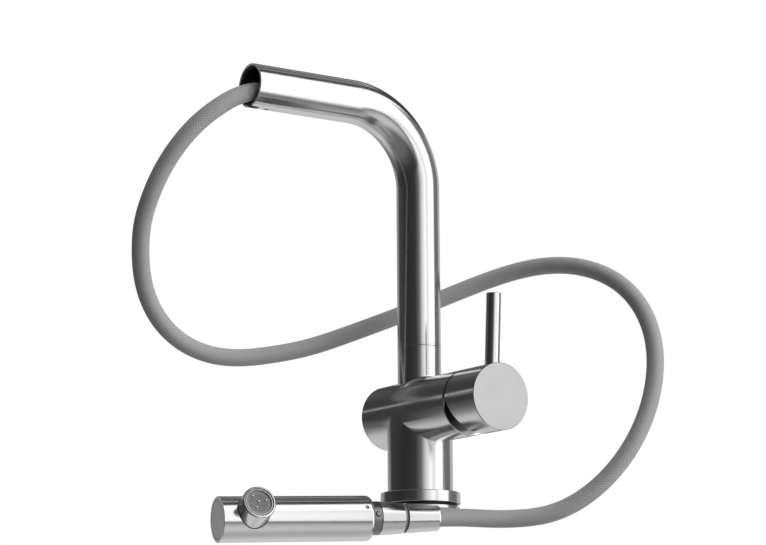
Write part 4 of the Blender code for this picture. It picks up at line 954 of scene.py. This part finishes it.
class FAUCET_OT_studio(bpy.types.Operator):
    """Set up the camera, the soft studio light and the plain pale floor"""
    bl_idname = "faucet.studio"
    bl_label = "Studio"

    def camera(self, context):
        """The camera, a little below the base and looking slightly up."""
        data = bpy.data.cameras.new("studio_camera")
        data.sensor_width = 36.0
        data.lens = 122.68
        data.shift_x = -0.0463
        data.shift_y = 0.0146
        data.clip_start, data.clip_end = 0.05, 60.0
        camera = bpy.data.objects.new("studio_camera", data)
        context.scene.collection.objects.link(camera)
        right = Vector((0.56580736, 0.82449094, -0.00875851))
        up = Vector((0.15739008, -0.09756983, 0.98270468))
        back = Vector((0.80937654, -0.55740005, -0.18497243))
        turn = Matrix((right, up, back)).transposed().to_4x4()
        camera.matrix_world = Matrix.Translation((1.36769, -0.94202, -0.16518)) @ turn
        context.scene.camera = camera

    def light(self, context):
        """A wide white panel on one side, a dark room on the other, and a pale ground."""
        world = bpy.data.worlds.new("studio")
        context.scene.world = world
        world.use_nodes = True
        tree = world.node_tree
        tree.nodes.clear()
        way = node(tree, "ShaderNodeTexCoord").outputs["Generated"]

        def facing(direction):
            product = node(tree, "ShaderNodeVectorMath", {0: way, 1: direction}, operation="DOT_PRODUCT")
            return product.outputs["Value"]

        ahead, aside = facing((0.824, -0.567, 0)), facing((0.567, 0.824, 0))
        height = facing((0, 0, 1))
        bearing = maths(tree, "MULTIPLY_ADD", maths(tree, "ARCTAN2", aside, ahead), 1 / (2 * pi), 0.5)

        def ramp(value, stops):
            made = node(tree, "ShaderNodeValToRGB", {0: value})
            made.color_ramp.elements[0].position = stops[0][0]
            made.color_ramp.elements[1].position = stops[-1][0]
            for position, _ in stops[1:-1]:
                made.color_ramp.elements.new(position)
            for element, (_, level) in zip(made.color_ramp.elements, stops):
                element.color = (level, level, level, 1)
            return made.outputs[0]

        def mingle(first, second, share):
            kept = maths(tree, "MULTIPLY", first, maths(tree, "SUBTRACT", 1.0, share))
            return maths(tree, "MULTIPLY_ADD", second, share, kept)

        def by_bearing(*stops):
            return ramp(bearing, [((degrees + 180) / 360, value) for degrees, value in stops])

        # the room at eye level, going round from behind the faucet by the left, the front and the right
        room = by_bearing((-180, 0.26), (-140, 0.24), (-122, 0.035), (-60, 0.018), (-14, 0.03), (5, 0.12),
                (16, 0.45), (40, 0.95), (45, 0.62), (52, 0.62), (58, 1.0), (90, 1.0), (94, 0.12),
                (128, 0.12), (134, 0.36), (180, 0.36))
        upper_room = by_bearing((-180, 0.19), (-128, 0.035), (0, 0.06), (40, 1.0), (130, 1.0), (150, 0.40),
                (180, 0.30))
        # heights of the panel's upper edge and of the ground's edge, each stored as 0.5 + half its sine
        panel_top = by_bearing((-180, 0.66), (-60, 0.66), (0, 0.90), (58, 0.95), (77, 0.945), (94, 0.88),
                (110, 0.84), (140, 0.72), (180, 0.66))
        ground_top = by_bearing((-180, 0.49), (20, 0.49), (40, 0.385), (81, 0.18), (110, 0.18), (150, 0.47),
                (180, 0.49))
        lit_side = by_bearing((10, 0.0), (35, 1.0), (180, 1.0))
        behind = by_bearing((-180, 1.0), (-168, 1.0), (-148, 0.0), (180, 0.0))
        left_share = by_bearing((-180, 1.0), (-125, 1.0), (-90, 0.25), (15, 0.25), (35, 1.0))
        level = maths(tree, "MULTIPLY_ADD", height, 0.5, 0.5)
        over = maths(tree, "SUBTRACT", level, panel_top)
        under = maths(tree, "SUBTRACT", ground_top, level)
        ceiling = ramp(over, [(0.0, 0.03), (0.10, 0.035), (0.145, 0.05), (0.16, 0.30), (0.18, 0.30),
                (0.195, 0.09), (1.0, 0.09)])
        above = spread(tree, over, -0.008, 0.008, 0.0, 1.0)
        walls = mingle(room, upper_room, spread(tree, level, 0.78, 0.82, 0.0, 1.0))
        edge_line = maths(tree, "MULTIPLY", spread(tree, over, -0.026, -0.018, 0.0, 1.0),
                spread(tree, over, -0.012, -0.004, 1.0, 0.0))
        edge_share = by_bearing((-150, 0.0), (-140, 0.4), (-96, 0.4), (-88, 0.0))
        walls = maths(tree, "MULTIPLY_ADD", edge_line, edge_share, walls)
        ground_left = maths(tree, "MULTIPLY", left_share, ramp(under, [
            (0.0, 0.07), (0.10, 0.12), (0.18, 0.22), (0.25, 0.42), (0.5, 0.50)]))
        ground_left = mingle(ground_left, 0.40, behind)
        ground_right = ramp(under, [(0.0, 0.05), (0.035, 0.06), (0.07, 0.26), (0.16, 0.44), (0.5, 0.5)])
        ground = mingle(ground_left, ground_right, lit_side)
        ground = mingle(ground, 0.28, spread(tree, level, 0.005, 0.10, 1.0, 0.0))
        below = spread(tree, under, -0.008, 0.008, 0.0, 1.0)
        total = mingle(mingle(walls, ceiling, above), ground, below)
        surround = node(tree, "ShaderNodeBackground", {"Color": total, "Strength": 1.75})
        plain = node(tree, "ShaderNodeBackground", {"Color": (1, 1, 1, 1), "Strength": 1.0})
        seen = node(tree, "ShaderNodeLightPath").outputs["Is Camera Ray"]
        mixed = node(tree, "ShaderNodeMixShader", {0: seen, 1: surround.outputs[0], 2: plain.outputs[0]})
        output = node(tree, "ShaderNodeOutputWorld")
        tree.links.new(mixed.outputs[0], output.inputs["Surface"])

        for name, energy, source in (("floor_light", 1.1, (0, 0, 1)),
                ("side_light", 1.5, (0.808, 0.527, 0.262))):
            data = bpy.data.lights.new(name, "SUN")
            data.energy = energy
            data.angle = radians(60)
            lamp = bpy.data.objects.new(name, data)
            context.scene.collection.objects.link(lamp)
            lamp.rotation_euler = Vector(source).to_track_quat("Z", "Y").to_euler()
            lamp.visible_glossy = False

    def execute(self, context):
        self.camera(context)
        self.light(context)
        start_piece()
        bpy.ops.mesh.primitive_plane_add(size=24, location=(0, 0, -0.30))
        floor = context.object
        floor.name = "studio_floor"
        made, tree, shader = new_finish("studio_floor", 0.0, 0.8)
        place = node(tree, "ShaderNodeTexCoord").outputs["Object"]
        grain = noise(tree, place, 6.0, 3.0)
        pale = context.scene.faucet_finishes.floor
        mixed = blend_colours(tree, grain, shade(pale, 0.985), shade(pale, 1.0))
        tree.links.new(mixed, shader.inputs["Base Color"])
        floor.data.materials.append(made)
        floor.visible_glossy = False
        floor.visible_diffuse = False
        context.scene.view_settings.view_transform = "Standard"
        return {"FINISHED"}


class FAUCET_PT_panel(bpy.types.Panel):
    """Lists the pieces of the faucet in the sidebar"""
    bl_idname = "FAUCET_PT_panel"
    bl_label = "Pull-out kitchen faucet"
    bl_space_type = "VIEW_3D"
    bl_region_type = "UI"
    bl_category = "Faucet"

    def draw(self, context):
        for group in (context.scene.faucet_sizes, context.scene.faucet_finishes):
            box = self.layout.box()
            for name in group.__annotations__:
                box.prop(group, name)
        for operator in OPERATORS:
            self.layout.operator(operator.bl_idname)


OPERATORS = (FAUCET_OT_studio, FAUCET_OT_inner_pieces, FAUCET_OT_connector, FAUCET_OT_hose, FAUCET_OT_base,
        FAUCET_OT_mixer_body, FAUCET_OT_handle, FAUCET_OT_spout, FAUCET_OT_hand_shower, FAUCET_OT_nozzle)
CLASSES = (FaucetSizes, FaucetFinishes, *OPERATORS, FAUCET_PT_panel)


def register():
    for kind in CLASSES:
        bpy.utils.register_class(kind)
    bpy.types.Scene.faucet_sizes = PointerProperty(type=FaucetSizes)
    bpy.types.Scene.faucet_finishes = PointerProperty(type=FaucetFinishes)


def unregister():
    del bpy.types.Scene.faucet_finishes
    del bpy.types.Scene.faucet_sizes
    for kind in reversed(CLASSES):
        bpy.utils.unregister_class(kind)


def main():
    register()
    bpy.ops.faucet.studio()
    bpy.ops.faucet.inner_pieces()
    bpy.ops.faucet.connector()
    bpy.ops.faucet.hose()
    bpy.ops.faucet.base()
    bpy.ops.faucet.mixer_body()
    bpy.ops.faucet.handle()
    bpy.ops.faucet.spout()
    bpy.ops.faucet.hand_shower()
    bpy.ops.faucet.nozzle()


if __name__ == "__main__":
    main()
